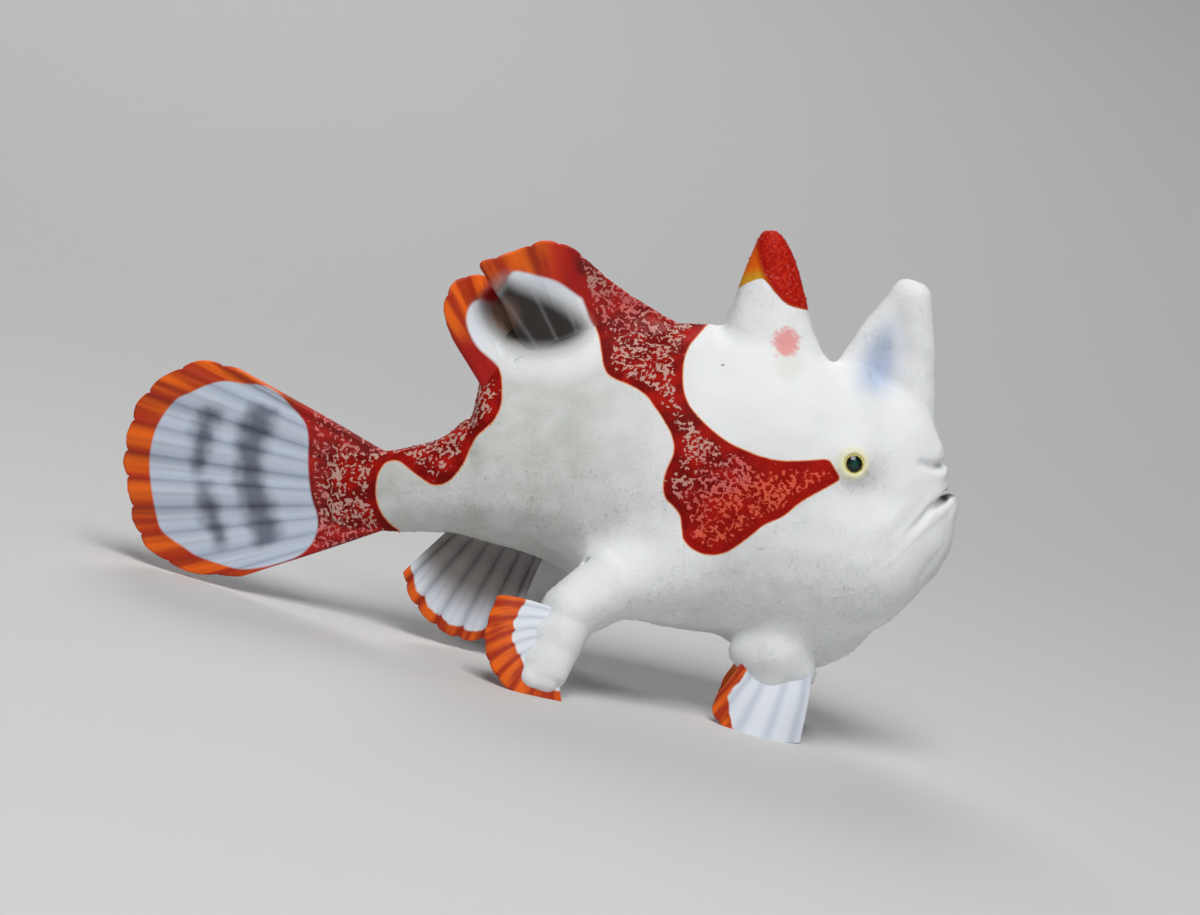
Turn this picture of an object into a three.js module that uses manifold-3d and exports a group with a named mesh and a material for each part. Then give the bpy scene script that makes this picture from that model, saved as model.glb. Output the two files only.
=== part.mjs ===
// A young clown frogfish, life-size, standing on its hands and feet. Millimetres, +X towards the mouth,
// +Y to the fish's left, +Z up. The fish is shaped in its own upright frame and then tilted head up by
// PITCH, so that its hands and feet stand on one level floor.
import * as THREE from "three";
import { mergeVertices } from "three/addons/utils/BufferGeometryUtils.js";
import Module from "manifold-3d";

const wasm = await Module();
wasm.setup();

// Stance: the floor as a slanted line under the upright fish
const PITCH = THREE.MathUtils.degToRad(14);
const FLOOR_AT_X = 8.25;
const FLOOR_AT_Z = 0.6;

// Sizes that everything shares
const GAP = 0.3;
const HEAD_CELL = 0.76;
const BODY_CELL = 0.9;
const LIMB_CELL = 0.8;
const SPINE_CELL = 0.68;
const CLEAR_CELL = 0.85;
const FRONT_BOX = { low: [3.2, -8, 2.5], high: [19.5, 8, 23] };
const REAR_BOX = { low: [-12.6, -8, 2.5], high: [8.2, 8, 24] };
const SECOND_SPINE_BOX = { low: [10.2, -3.4, 14.6], high: [18.4, 3.4, 24.2] };
const THIRD_SPINE_BOX = { low: [3.6, -4.6, 16.4], high: [13.6, 4.6, 26.6] };
const LIMB_MARGIN = 3.2;
const SPINE_MARGIN = 1.5;
const FIN_MARGIN = 1;
const WELD = 1e-4;
const BLOCK_WIDTH = 40;
const BLOCK_REACH = 60;
const BLOCK_TOP = 30;
const BLOCK_FOOT = -2;

// How a surface is found: the probe that feels its slope, and how far points may move to it
const PROBE = 0.02;
const LEAST_SLOPE = 0.3;
const CELL_SETTLING = { rounds: 2, reach: 0.25 };
const LINE_SETTLING = { rounds: 12, reach: 0.5 };
const THINNEST = 0.02;

// Fins: thickness of rays and web, and how it changes towards the margin
const FIN_SHAPE = {
  between: 1,
  steps: 7,
  root: 0.86,
  rootShare: 0.3,
  rootPower: 1.5,
  ray: 0.86,
  rayTip: 0.46,
  rayPower: 1.5,
  web: 0.5,
  webTip: 0.4,
  webPower: 3,
  notch: 0.04,
};

// Body outline: x, top, bottom, half-width of the sections across X
const BODY = [
  [-11.6, 14.5, 10.3, 0.5],
  [-10.4, 14.55, 10.25, 0.85],
  [-9.0, 14.8, 10.3, 1.35],
  [-7.5, 15.2, 10.3, 1.85],
  [-6.0, 15.8, 9.95, 2.35],
  [-4.0, 16.7, 9.4, 3.0],
  [-2.0, 17.6, 8.5, 3.6],
  [0.0, 18.5, 7.0, 4.2],
  [2.5, 19.5, 5.9, 4.75],
  [5.0, 20.2, 5.3, 5.05],
  [7.5, 20.3, 5.1, 5.1],
  [10.0, 19.7, 5.1, 4.95],
  [12.5, 18.3, 5.4, 4.5],
  [14.5, 17.0, 6.15, 3.85],
  [16.0, 15.75, 7.3, 3.2],
  [17.0, 14.5, 8.3, 2.7],
  [17.6, 13.5, 9.3, 2.1],
  [18.1, 12.0, 11.2, 0.1],
];
const NOSE_ROUNDING = 4.0;
const SECTION_POWER = 2.15;
const WIDEST_SHARE = 0.44;

// Fleshy ridge that carries the soft dorsal fin: x, top, bottom, half-width
const RIDGE = [
  [-6.45, 15.6, 15.0, 0.5],
  [-6.2, 16.6, 13.5, 0.85],
  [-5.9, 18.1, 12.0, 1.05],
  [-5.3, 19.1, 12.0, 1.15],
  [-4.0, 19.9, 12.0, 1.25],
  [-2.0, 20.7, 12.5, 1.35],
  [0.0, 21.4, 13.0, 1.45],
  [1.5, 21.25, 13.5, 1.5],
  [3.2, 20.7, 14.0, 1.5],
  [5.4, 20.3, 15.0, 1.4],
];
const RIDGE_BLEND = 2.2;
const RIDGE_POWER = 2;
const RIDGE_END_ROUNDING = 0.01;

// Third dorsal spine, a fleshy horn: z, front, back, half-width
const THIRD_SPINE = [
  [16.5, 11.8, 5.0, 2.6],
  [19.0, 11.3, 5.7, 2.1],
  [20.5, 10.75, 6.1, 1.75],
  [22.0, 10.4, 6.6, 1.45],
  [23.5, 9.95, 7.15, 1.15],
  [24.8, 9.35, 7.7, 0.85],
  [25.5, 8.5, 8.3, 0.1],
];
const SPINE_ROUNDING = 1.5;
const SPINE_BLEND = 0.8;

// Second dorsal spine: a column in front, x, y, z, radius, and the web behind it: z, front, back, half-width
const SECOND_SPINE = [
  [15.2, 0, 15.0, 1.5],
  [15.75, 0, 17.0, 1.05],
  [15.85, 0, 19.5, 0.95],
  [15.65, 0, 22.05, 0.95],
];
const SECOND_WEB = [
  [15.5, 15.5, 9.8, 1.3],
  [18.0, 15.8, 11.2, 0.95],
  [19.5, 15.9, 12.2, 0.72],
  [21.0, 15.9, 13.25, 0.6],
  [22.2, 15.8, 14.2, 0.55],
  [23.05, 15.3, 15.1, 0.1],
];
const SPINE_WEB_BLEND = 0.5;
const WEB_HOLLOW = { at: [13.8, 2.05, 18.7], size: [1.1, 1.65, 2.2], blend: 0.6 };

// Mouth line on each side, from the middle of the front round to the corner: x, z
const MOUTH = [
  [18.8, 12.6],
  [17.3, 12.3],
  [16.7, 12.0],
  [16.1, 11.5],
  [15.5, 11.05],
  [14.9, 10.65],
];
const JAW_CUT_BELOW = [
  [14.2, 9.5],
  [13.6, 8.2],
  [13.1, 6.6],
  [12.8, 3.0],
];
const MOUTH_FRONT = 17.3;
const UPPER_LIP = { rise: 0.42, radius: 0.34, sunk: 0.1 };
const LOWER_LIP = { rise: -0.46, radius: 0.38, sunk: 0.1 };
const LIP_SIDES = 7;
const LIP_STEPS = 22;

// Eyes, nostrils and the knobs of the snout
const EYE = { x: 12.25, z: 14.2, radius: 0.75, depth: 0.15, around: 14, down: 10 };
const BROW = { radius: 1.6, depth: 1.15, blend: 0.7 };
const EYE_RIM = { radius: 1.15, thickness: 0.25, depth: 0, around: 16, sides: 6 };
const NOSTRIL = { x: 16.25, z: 14.35, y: 0.95, outer: 0.34, inner: 0.15, height: 0.8, taper: 0.8 };
const NOSTRIL_SIDES = 12;
const NOSTRIL_WAY = [0.75, 0.45, 0.5];
const SNOUT_KNOBS = [
  [16.55, 0.0, 14.65, 0.62],
  [16.85, 0.0, 13.35, 0.58],
  [16.6, 0.9, 13.15, 0.5],
];
const KNOB_BLEND = 0.35;

// Cheek, throat and gill pore
const CHEEK = { at: [11.6, 2.0, 9.3], size: [4.7, 3.1, 3.9], blend: 1.0 };
const THROAT = { at: [9.9, 0, 5.9], size: [3.7, 2.6, 2.5], blend: 1.2 };
const GILL_PORE = { at: [-0.6, 4.45, 9.3], radius: 0.4, blend: 0.3 };

// Arms: shoulder to wrist, x, y, z, radius, with y for the left side. The left arm reaches further back,
// and the left foot stands a little ahead.
const ARM = [
  [2.9, 2.9, 8.8, 2.6],
  [0.6, 4.4, 8.3, 1.85],
  [-1.4, 5.6, 7.2, 1.5],
  [-2.15, 6.4, 5.3, 1.0],
  [-2.4, 6.95, 4.4, 0.8],
];
const ARM_SWING_JOINTS = 3;
const PALM = { at: [-2.75, 6.7, 5.2], size: [1.05, 0.75, 1.15], blend: 0.8 };
const ARM_BLEND = 1.4;
const LEFT_HAND_BACK = 1.9;

// Legs of the pelvic fins: hip to ankle
const LEG = [
  [9.4, 1.5, 6.4, 2.0],
  [8.9, 2.05, 4.9, 1.6],
];
const LEFT_FOOT_BACK = -0.5;
const CALF = { at: [8.2, 2.35, 4.75], size: [1.95, 1.25, 1.35], blend: 0.5 };
const LEG_BLEND = 0.8;

// Cuts between head, torso and tail stem, as side-view lines from top to bottom
const NECK_LINE = [
  [6.0, 30.0],
  [5.3, 19.0],
  [5.0, 12.0],
  [5.3, 8.0],
  [6.2, -2.0],
];
const STEM_LINE = [
  [-7.6, 30.0],
  [-7.3, 17.0],
  [-6.8, 10.0],
  [-6.6, -2.0],
];
const STEM_END = -10.6;

// How far the tail swings to the fish's left behind the hips
const SWAY_FROM_X = -2.0;
const SWAY_LENGTH = 22.0;
const SWAY = 2.6;

// Fins: root lines, margins and how far the rays bow, x, y, z, with y for the left side of paired fins
const DORSAL_ROOT = [
  [4.3, 0, 20.1],
  [1.0, 0, 20.6],
  [-2.0, 0, 19.8],
  [-4.5, 0, 18.7],
  [-5.6, 0, 17.2],
];
const DORSAL_TIPS = [
  [4.1, 0, 20.7],
  [2.25, -0.2, 21.8],
  [0.9, -0.5, 22.7],
  [-0.3, -0.8, 23.7],
  [-1.4, -1.0, 24.65],
  [-2.7, -1.2, 25.0],
  [-4.2, -1.0, 24.5],
  [-5.9, -1.4, 23.9],
  [-4.9, 0.9, 22.9],
  [-6.1, 0.4, 23.25],
  [-7.25, -0.5, 22.9],
  [-7.75, -0.8, 21.65],
  [-7.35, -0.4, 20.15],
];
const DORSAL_BOW = [-0.25, 0, 0.3];
const TAIL_ROOT = [
  [-10.6, 0, 14.3],
  [-10.6, 0, 10.5],
];
const TAIL_TIPS = [
  [-18.0, 0.25, 18.35],
  [-20.15, -0.25, 18.85],
  [-22.25, 0.25, 17.9],
  [-23.5, -0.25, 16.6],
  [-24.0, 0.25, 15.05],
  [-24.25, -0.25, 13.6],
  [-24.0, 0.25, 12.2],
  [-23.8, -0.25, 10.65],
  [-23.05, 0.25, 9.3],
  [-20.9, -0.7, 8.15],
  [-18.1, -0.2, 8.0],
];
const TAIL_BOW = [0, 0, 0];
const TAIL_SHAPE = { root: 1.5, between: 3 };
const ANAL_ROOT = [
  [-2.6, 0, 9.6],
  [-7.0, 0, 11.0],
];
const ANAL_MARGIN = [
  [-4.25, 0, 5.6],
  [-5.4, 0, 5.0],
  [-6.6, 0, 4.85],
  [-7.75, 0, 5.2],
  [-8.8, 0, 6.0],
  [-9.6, 0, 7.1],
  [-9.9, 0, 8.3],
];
const ANAL_RAYS = 7;
const ANAL_BOW = [-0.3, 0, -0.2];
const HAND_ROOT = [
  [-2.2, 5.9, 7.3],
  [-2.4, 6.3, 6.0],
  [-1.8, 6.4, 4.7],
];
const HAND_MARGIN = [
  [-4.95, 5.9, 8.0],
  [-5.5, 6.6, 6.6],
  [-5.45, 7.2, 5.2],
  [-4.8, 7.6, 4.1],
  [-3.6, 7.8, 3.1],
  [-1.8, 7.4, 2.7],
];
const HAND_RAYS = 9;
const HAND_BOW = [-0.3, 0.4, 0.5];
const FOOT_ROOT = [
  [6.95, 2.2, 3.95],
  [10.5, 2.2, 3.7],
];
const FOOT_MARGIN = [
  [5.6, 2.4, 1.9],
  [6.3, 3.2, 0.95],
  [7.4, 3.8, 0.5],
  [8.7, 3.7, 0.25],
  [9.85, 3.0, 0.2],
];
const FOOT_RAYS = 5;
const FOOT_BOW = [0, 0.35, 0.2];
const FOOT_SHAPE = { root: 1.3, rootShare: 0.8, steps: 5 };

// Fishing rod: a bristle with a small bait, carried beside the left face of the second spine
const ROD = [
  [15.9, 0.8, 14.9],
  [16.0, 1.3, 15.9],
  [15.95, 1.65, 17.0],
  [15.9, 1.65, 18.6],
  [15.8, 1.6, 20.4],
];
const ROD_RADIUS = 0.27;
const ROD_SIDES = 6;
const ROD_STEPS = 14;
const ROD_BULB = { at: [16.0, 1.2, 15.4], size: [0.5, 0.45, 0.55] };
const BAIT = { at: [15.75, 1.65, 20.6], size: [0.5, 0.42, 0.65] };
const PEBBLE = { around: 8, down: 6 };
const BAIT_LOBE = { radius: 0.26, length: 0.85, lift: 0.3, turns: [-0.6, 0, 0.6], sides: 5 };

// Colours of the parts
const WHITE = 0xdfe6ee;
const RED = 0xa11a10;
const ORANGE = 0xe8791c;
const PALE_FIN = 0xd9dbe0;
const BLACK = 0x0c0f0e;
const SKIN_ROUGHNESS = 0.85;
const EYE_ROUGHNESS = 0.15;

const clamp = (v, low, high) => Math.min(Math.max(v, low), high);
const mirrored = (side, [x, y, z, ...rest]) => [x, side * y, z, ...rest];
const sway = (x) => SWAY * (Math.max(SWAY_FROM_X - x, 0) / SWAY_LENGTH) ** 2;
const floorZ = (x) => FLOOR_AT_Z - Math.tan(PITCH) * (x - FLOOR_AT_X);

// Fields: each is a function of x, y, z that is about the distance to a surface, negative inside

// A smooth curve through table rows, whose first column is the place and the others the values there
function tableCurve(rows) {
  const slopes = rows.map((row, i) => {
    const before = rows[Math.max(i - 1, 0)];
    const after = rows[Math.min(i + 1, rows.length - 1)];
    return row.map((_, c) => (after[c] - before[c]) / (after[0] - before[0]));
  });
  return (place) => {
    let i = 0;
    while (i < rows.length - 2 && place > rows[i + 1][0]) i += 1;
    const span = rows[i + 1][0] - rows[i][0];
    const t = clamp((place - rows[i][0]) / span, 0, 1);
    const rise = t * t * (3 - 2 * t);
    const leave = span * t * (1 - t) * (1 - t);
    const arrive = -span * t * t * (1 - t);
    return rows[i].slice(1).map((value, c) => {
      const next = rows[i + 1][c + 1];
      return value + rise * (next - value) + leave * slopes[i][c + 1] + arrive * slopes[i + 1][c + 1];
    });
  };
}

// Sections along an axis, each a rounded oblong between two edges, with the last stretch rounded off
function loft(rows, { pick, rounding, power = 2, widest = 0.5 }) {
  const start = rows[0][0];
  const end = rows.at(-1)[0];
  const roundFrom = end - rounding;
  const stretch = (s) => {
    const share = Math.min((s - roundFrom) / rounding, 1);
    return s <= roundFrom ? s : roundFrom + rounding * Math.asin(share);
  };
  const curve = tableCurve(rows.map(([s, ...rest]) => [stretch(s), ...rest]));
  const section = (s) => {
    const [high, low, half] = curve(stretch(clamp(s, start, end)));
    const middle = low + widest * (high - low);
    return { high, low, half: Math.max(half, THINNEST), middle };
  };
  const field = (x, y, z) => {
    const [along, across, out] = pick(x, y, z);
    const { high, low, half, middle } = section(along);
    const reach = Math.max(across > middle ? high - middle : middle - low, THINNEST);
    const size =
      (Math.abs((across - middle) / reach) ** power + Math.abs(out / half) ** power) ** (1 / power);
    const far = Math.hypot(across - middle, out);
    const beside = size > 1e-4 ? far * (1 - 1 / size) : -Math.min(reach, half);
    const past = Math.max(start - along, along - end);
    return Math.min(Math.max(beside, past), 0) + Math.hypot(Math.max(beside, 0), Math.max(past, 0));
  };
  // Half-width at one place of the side view
  const flank = (along, across) => {
    const { high, low, half, middle } = section(along);
    const reach = across > middle ? high - middle : middle - low;
    const share = Math.min(Math.abs((across - middle) / reach), 1);
    return half * (1 - share ** power) ** (1 / power);
  };
  return { field, flank };
}

// A chain of tapering round bars through joints given as x, y, z, radius
function limb(joints) {
  return (x, y, z) => {
    let nearest = Infinity;
    for (let i = 1; i < joints.length; i += 1) {
      const [ax, ay, az, ar] = joints[i - 1];
      const [bx, by, bz, br] = joints[i];
      const [dx, dy, dz] = [bx - ax, by - ay, bz - az];
      const length2 = dx * dx + dy * dy + dz * dz;
      const t = clamp(((x - ax) * dx + (y - ay) * dy + (z - az) * dz) / length2, 0, 1);
      const far = Math.hypot(x - ax - t * dx, y - ay - t * dy, z - az - t * dz);
      nearest = Math.min(nearest, far - (ar + t * (br - ar)));
    }
    return nearest;
  };
}

function ball([cx, cy, cz], [rx, ry, rz]) {
  return (x, y, z) => {
    const [dx, dy, dz] = [x - cx, y - cy, z - cz];
    const size = Math.hypot(dx / rx, dy / ry, dz / rz);
    const slope = Math.hypot(dx / rx ** 2, dy / ry ** 2, dz / rz ** 2);
    return slope > 1e-6 ? (size * (size - 1)) / slope : -Math.min(rx, ry, rz);
  };
}

// Joins two fields with a fillet, or hollows the first by the second
function blend(a, b, fillet) {
  const near = Math.max(fillet - Math.abs(a - b), 0) / fillet;
  return Math.min(a, b) - (near * near * fillet) / 4;
}
const hollow = (a, b, fillet) => -blend(-a, b, fillet);

const lengthwise = (x, y, z) => [x, z, y];
const upright = (x, y, z) => [z, x, y];
const trunk = loft(BODY, {
  pick: lengthwise,
  rounding: NOSE_ROUNDING,
  power: SECTION_POWER,
  widest: WIDEST_SHARE,
});
const ridge = loft(RIDGE, { pick: lengthwise, rounding: RIDGE_END_ROUNDING, power: RIDGE_POWER });
const thirdSpine = loft(THIRD_SPINE, { pick: upright, rounding: SPINE_ROUNDING });
const secondWeb = loft(SECOND_WEB, { pick: upright, rounding: SPINE_ROUNDING });
const secondColumn = limb(SECOND_SPINE);
const SIDES = [-1, 1];

// A point of a limb on one side, set back along the floor on the left side
function setBack(side, [x, y, z, ...rest], leftBack) {
  const moved = side > 0 ? x - leftBack : x;
  return [moved, side * y, z + floorZ(moved) - floorZ(x), ...rest];
}
const onHand = (side, point, share = 1) => setBack(side, point, LEFT_HAND_BACK * share);
const onFoot = (side, point) => setBack(side, point, LEFT_FOOT_BACK);
const armJoints = (side) =>
  ARM.map((joint, i) => onHand(side, joint, Math.min(i / ARM_SWING_JOINTS, 1)));

// A point on the flank, a depth under the skin
const onFlank = (side, { x, z }, depth) => [x, side * (trunk.flank(x, z) - depth), z];

function fieldsOfSide(side) {
  return {
    arm: limb(armJoints(side)),
    palm: ball(onHand(side, PALM.at), PALM.size),
    leg: limb(LEG.map((joint) => onFoot(side, joint))),
    calf: ball(onFoot(side, CALF.at), CALF.size),
    cheek: ball(mirrored(side, CHEEK.at), CHEEK.size),
    brow: ball(onFlank(side, EYE, BROW.depth), Array(3).fill(BROW.radius)),
    webHollow: ball(mirrored(side, WEB_HOLLOW.at), WEB_HOLLOW.size),
    pore: ball(mirrored(side, GILL_PORE.at), Array(3).fill(GILL_PORE.radius)),
  };
}

const [right, left] = SIDES.map(fieldsOfSide);
const throat = ball(THROAT.at, THROAT.size);
const knobs = SNOUT_KNOBS.flatMap(([x, y, z, r]) =>
  (y ? SIDES : [1]).map((side) => ball([x, side * y, z], [r, r, r])),
);
const joinAll = (d, parts, fillet, at) => parts.reduce((sum, part) => blend(sum, part(...at), fillet), d);

// Body with neither limbs nor dorsal spines
function bodyField(x, bentY, z) {
  const at = [x, bentY - sway(x), z];
  let d = blend(trunk.field(...at), ridge.field(...at), RIDGE_BLEND);
  d = blend(d, throat(...at), THROAT.blend);
  d = joinAll(d, [right.cheek, left.cheek], CHEEK.blend, at);
  d = joinAll(d, [right.brow, left.brow], BROW.blend, at);
  d = joinAll(d, knobs, KNOB_BLEND, at);
  for (const { pore } of [right, left]) d = hollow(d, pore(...at), GILL_PORE.blend);
  return d;
}

function secondSpine(x, y, z) {
  let d = blend(secondColumn(x, y, z), secondWeb.field(x, y, z), SPINE_WEB_BLEND);
  for (const { webHollow } of [right, left]) d = hollow(d, webHollow(x, y, z), WEB_HOLLOW.blend);
  return d;
}

const armOf = ({ arm, palm }) => (x, y, z) => blend(arm(x, y, z), palm(x, y, z), PALM.blend);
const legOf = ({ leg, calf }) => (x, y, z) => blend(leg(x, y, z), calf(x, y, z), CALF.blend);
const withLimb = (limbField, fillet) => (x, y, z) =>
  blend(bodyField(x, y, z), limbField(x, y - sway(x), z), fillet);

// Solids

function solidOf(positions, triangles) {
  return new wasm.Manifold(
    new wasm.Mesh({
      numProp: 3,
      vertProperties: new Float32Array(positions),
      triVerts: new Uint32Array(triangles),
    }),
  );
}

function solid(geometry) {
  const bare = geometry.index ? geometry.toNonIndexed() : geometry.clone();
  bare.deleteAttribute("normal");
  bare.deleteAttribute("uv");
  const merged = mergeVertices(bare, WELD);
  return solidOf(merged.attributes.position.array, merged.index.array);
}

function geometryOf(made) {
  const { numProp, numVert, vertProperties, triVerts } = made.getMesh();
  const positions = new Float32Array(numVert * 3);
  for (let i = 0; i < numVert; i += 1) {
    positions.set(vertProperties.subarray(i * numProp, i * numProp + 3), i * 3);
  }
  const geometry = new THREE.BufferGeometry();
  geometry.setAttribute("position", new THREE.BufferAttribute(positions, 3));
  geometry.setIndex(new THREE.BufferAttribute(triVerts.slice(), 1));
  const flat = geometry.toNonIndexed();
  flat.computeVertexNormals();
  return flat;
}

const largest = (made) => made.decompose().sort((a, b) => b.volume() - a.volume())[0];

// Moves a point on to the surface where a field is zero, by no more than a reach in each round
function settle(field, start, rounds, reach) {
  const point = [...start];
  for (let round = 0; round < rounds; round += 1) {
    const value = field(...point);
    const slope = [0, 1, 2].map((axis) => {
      const ahead = [...point];
      ahead[axis] += PROBE;
      return (field(...ahead) - value) / PROBE;
    });
    const steep = Math.max(Math.hypot(...slope), LEAST_SLOPE);
    const move = clamp(value / steep, -reach, reach) / steep;
    slope.forEach((v, axis) => {
      point[axis] -= move * v;
    });
  }
  return point;
}

// A grid over a box: its sizes, the number of each corner, and the places along each axis
function gridOver({ low, high }, cell) {
  const count = low.map((v, i) => Math.ceil((high[i] - v) / cell) + 1);
  const at = (i, j, k) => (i * count[1] + j) * count[2] + k;
  const place = (i, axis) => low[axis] + i * cell;
  const each = (short, visit) => {
    for (let i = 0; i < count[0] - short; i += 1) {
      for (let j = 0; j < count[1] - short; j += 1) {
        for (let k = 0; k < count[2] - short; k += 1) visit(i, j, k);
      }
    }
  };
  return { count, at, place, each, cell };
}

// A field's values at the grid's corners, kept above zero on the walls of the box
function valuesOn({ count, at, place, each, cell }, field) {
  const values = new Float64Array(count[0] * count[1] * count[2]);
  each(0, (i, j, k) => {
    const wall = [i, j, k].some((v, axis) => v === 0 || v === count[axis] - 1);
    const value = field(place(i, 0), place(j, 1), place(k, 2));
    values[at(i, j, k)] = wall ? Math.max(value, cell / 2) : value;
  });
  return values;
}

const CELL_CORNERS = [0, 1, 2, 3, 4, 5, 6, 7].map((c) => [c & 1, (c >> 1) & 1, (c >> 2) & 1]);
const CELL_EDGES = CELL_CORNERS.flatMap((_, a) =>
  [1, 2, 4].filter((bit) => !(a & bit)).map((bit) => [a, a | bit]),
);

// One vertex in each cell that the surface crosses, moved on to the surface unless it lies at a wall
function cellVertices({ count, at, place, each, cell }, values, field) {
  const vertexOf = new Map();
  const positions = [];
  each(1, (i, j, k) => {
    const here = CELL_CORNERS.map(([a, b, c]) => values[at(i + a, j + b, k + c)]);
    const crossed = CELL_EDGES.filter(([a, b]) => here[a] < 0 !== here[b] < 0);
    if (!crossed.length) return;
    const sum = [0, 0, 0];
    for (const [a, b] of crossed) {
      const t = here[a] / (here[a] - here[b]);
      for (let axis = 0; axis < 3; axis += 1) {
        sum[axis] += CELL_CORNERS[a][axis] + t * (CELL_CORNERS[b][axis] - CELL_CORNERS[a][axis]);
      }
    }
    vertexOf.set(at(i, j, k), positions.length / 3);
    const start = sum.map((v, axis) => place([i, j, k][axis] + v / crossed.length, axis));
    const walled = [i, j, k].some((v, axis) => v === 0 || v === count[axis] - 2);
    const { rounds, reach } = CELL_SETTLING;
    positions.push(...(walled ? start : settle(field, start, rounds, reach * cell)));
  });
  return { vertexOf, positions };
}

// One square across each grid edge that the surface crosses, parted along its shorter diagonal
function edgeSquares({ at, each }, values, vertexOf, positions) {
  const triangles = [];
  const far = (a, b) => {
    const d = [0, 1, 2].map((axis) => positions[3 * a + axis] - positions[3 * b + axis]);
    return Math.hypot(...d);
  };
  const steps = [at(1, 0, 0), at(0, 1, 0), at(0, 0, 1)];
  each(1, (i, j, k) => {
    const base = at(i, j, k);
    steps.forEach((step, axis) => {
      const inside = values[base] < 0;
      if (inside === values[base + step] < 0) return;
      const [u, v] = [steps[(axis + 1) % 3], steps[(axis + 2) % 3]];
      const ring = [base - u - v, base - v, base, base - u].map((cellAt) => vertexOf.get(cellAt));
      if (!inside) ring.reverse();
      const turn = far(ring[0], ring[2]) > far(ring[1], ring[3]) ? 1 : 0;
      const [a, b, c, d] = [0, 1, 2, 3].map((n) => ring[(n + turn) % 4]);
      triangles.push(a, b, c, a, c, d);
    });
  });
  return triangles;
}

// The closed surface where a field is zero inside a box, as a solid
function skin(field, box, cell) {
  const grid = gridOver(box, cell);
  const values = valuesOn(grid, field);
  const { vertexOf, positions } = cellVertices(grid, values, field);
  return solidOf(positions, edgeSquares(grid, values, vertexOf, positions));
}

// A side-view outline pushed across Y, as a solid
function sideBlock(points) {
  const shape = new THREE.Shape(points.map(([x, z]) => new THREE.Vector2(x, z)));
  const geometry = new THREE.ExtrudeGeometry(shape, { depth: BLOCK_WIDTH, bevelEnabled: false });
  geometry.rotateX(Math.PI / 2);
  geometry.translate(0, BLOCK_WIDTH / 2, 0);
  return solid(geometry);
}

// A thin cut that follows a side-view line
function knife(line) {
  const normals = line.map((_, i) => {
    const a = line[Math.max(i - 1, 0)];
    const b = line[Math.min(i + 1, line.length - 1)];
    const length = Math.hypot(b[0] - a[0], b[1] - a[1]);
    return [-(b[1] - a[1]) / length, (b[0] - a[0]) / length];
  });
  const edge = (side) =>
    line.map(([x, z], i) => [x + (side * GAP * normals[i][0]) / 2, z + (side * GAP * normals[i][1]) / 2]);
  return sideBlock([...edge(-1), ...edge(1).reverse()]);
}

// Everything behind a side-view line that runs downwards, or ahead of it
function blockBeside(line, direction) {
  const shift = (direction * GAP) / 2;
  const edge = line.map(([x, z]) => [x - shift, z]);
  const far = direction * BLOCK_REACH;
  return sideBlock([...edge, [far, line.at(-1)[1]], [far, line[0][1]]]);
}
const upLine = (x) => [[x, BLOCK_TOP], [x, BLOCK_FOOT]];

// A point at a share of a bowed ray
function onRay({ root, tip, bow }, t) {
  const middle = root.clone().lerp(tip, 0.5).add(bow);
  const a = root.clone().lerp(middle, t);
  return a.lerp(middle.clone().lerp(tip, t), t);
}

// The lines of points along a fin's rays and between them, each with how far it is a valley
function finColumns(rays, { between, steps, notch }) {
  return rays.flatMap((ray, i) => {
    const parts = i < rays.length - 1 ? between + 1 : 1;
    return Array.from({ length: parts }, (_, n) => {
      const share = n / parts;
      const valley = Math.sin(Math.PI * share);
      const line = Array.from({ length: steps + 1 }, (_, s) => {
        const t = (s / steps) * (1 - notch * valley);
        const point = onRay(ray, t);
        if (share) point.lerp(onRay(rays[i + 1], t), share);
        point.y += sway(point.x);
        return point;
      });
      return { line, valley };
    });
  });
}

function finThickness(t, valley, shape) {
  const fade = clamp(1 - t / shape.rootShare, 0, 1) ** shape.rootPower;
  const ray = shape.ray + (shape.rayTip - shape.ray) * t ** shape.rayPower;
  const web = shape.web + (shape.webTip - shape.web) * t ** shape.webPower;
  return ray + (web - ray) * valley + (shape.root - ray) * fade;
}

// One face of a fin, as a list of coordinates: the columns' points moved out by half the thickness
function finFace(columns, face, shape) {
  return columns.flatMap(({ line, valley }, c) =>
    line.flatMap((point, s) => {
      const left = columns[Math.max(c - 1, 0)].line[s];
      const right = columns[Math.min(c + 1, columns.length - 1)].line[s];
      const below = line[Math.max(s - 1, 0)];
      const above = line[Math.min(s + 1, shape.steps)];
      const normal = right.clone().sub(left).cross(above.clone().sub(below)).normalize();
      const half = finThickness(s / shape.steps, valley, shape) / 2;
      return point.clone().addScaledVector(normal, face * half).toArray();
    }),
  );
}

// Triangles over both faces of a fin and round its rim
function finTriangles(across, steps) {
  const rows = steps + 1;
  const last = across - 1;
  const front = (c, s) => c * rows + s;
  const back = (c, s) => across * rows + c * rows + s;
  const triangles = [];
  const quad = (a, b, c, d) => triangles.push(a, b, c, a, c, d);
  for (let c = 0; c < last; c += 1) {
    for (let s = 0; s < steps; s += 1) {
      quad(front(c, s), front(c + 1, s), front(c + 1, s + 1), front(c, s + 1));
      triangles.push(back(c, s), back(c + 1, s + 1), back(c + 1, s));
      triangles.push(back(c, s), back(c, s + 1), back(c + 1, s + 1));
    }
    quad(back(c, 0), back(c + 1, 0), front(c + 1, 0), front(c, 0));
    quad(front(c, steps), front(c + 1, steps), back(c + 1, steps), back(c, steps));
  }
  for (let s = 0; s < steps; s += 1) {
    quad(back(0, s), front(0, s), front(0, s + 1), back(0, s + 1));
    quad(front(last, s), back(last, s), back(last, s + 1), front(last, s + 1));
  }
  return triangles;
}

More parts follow.
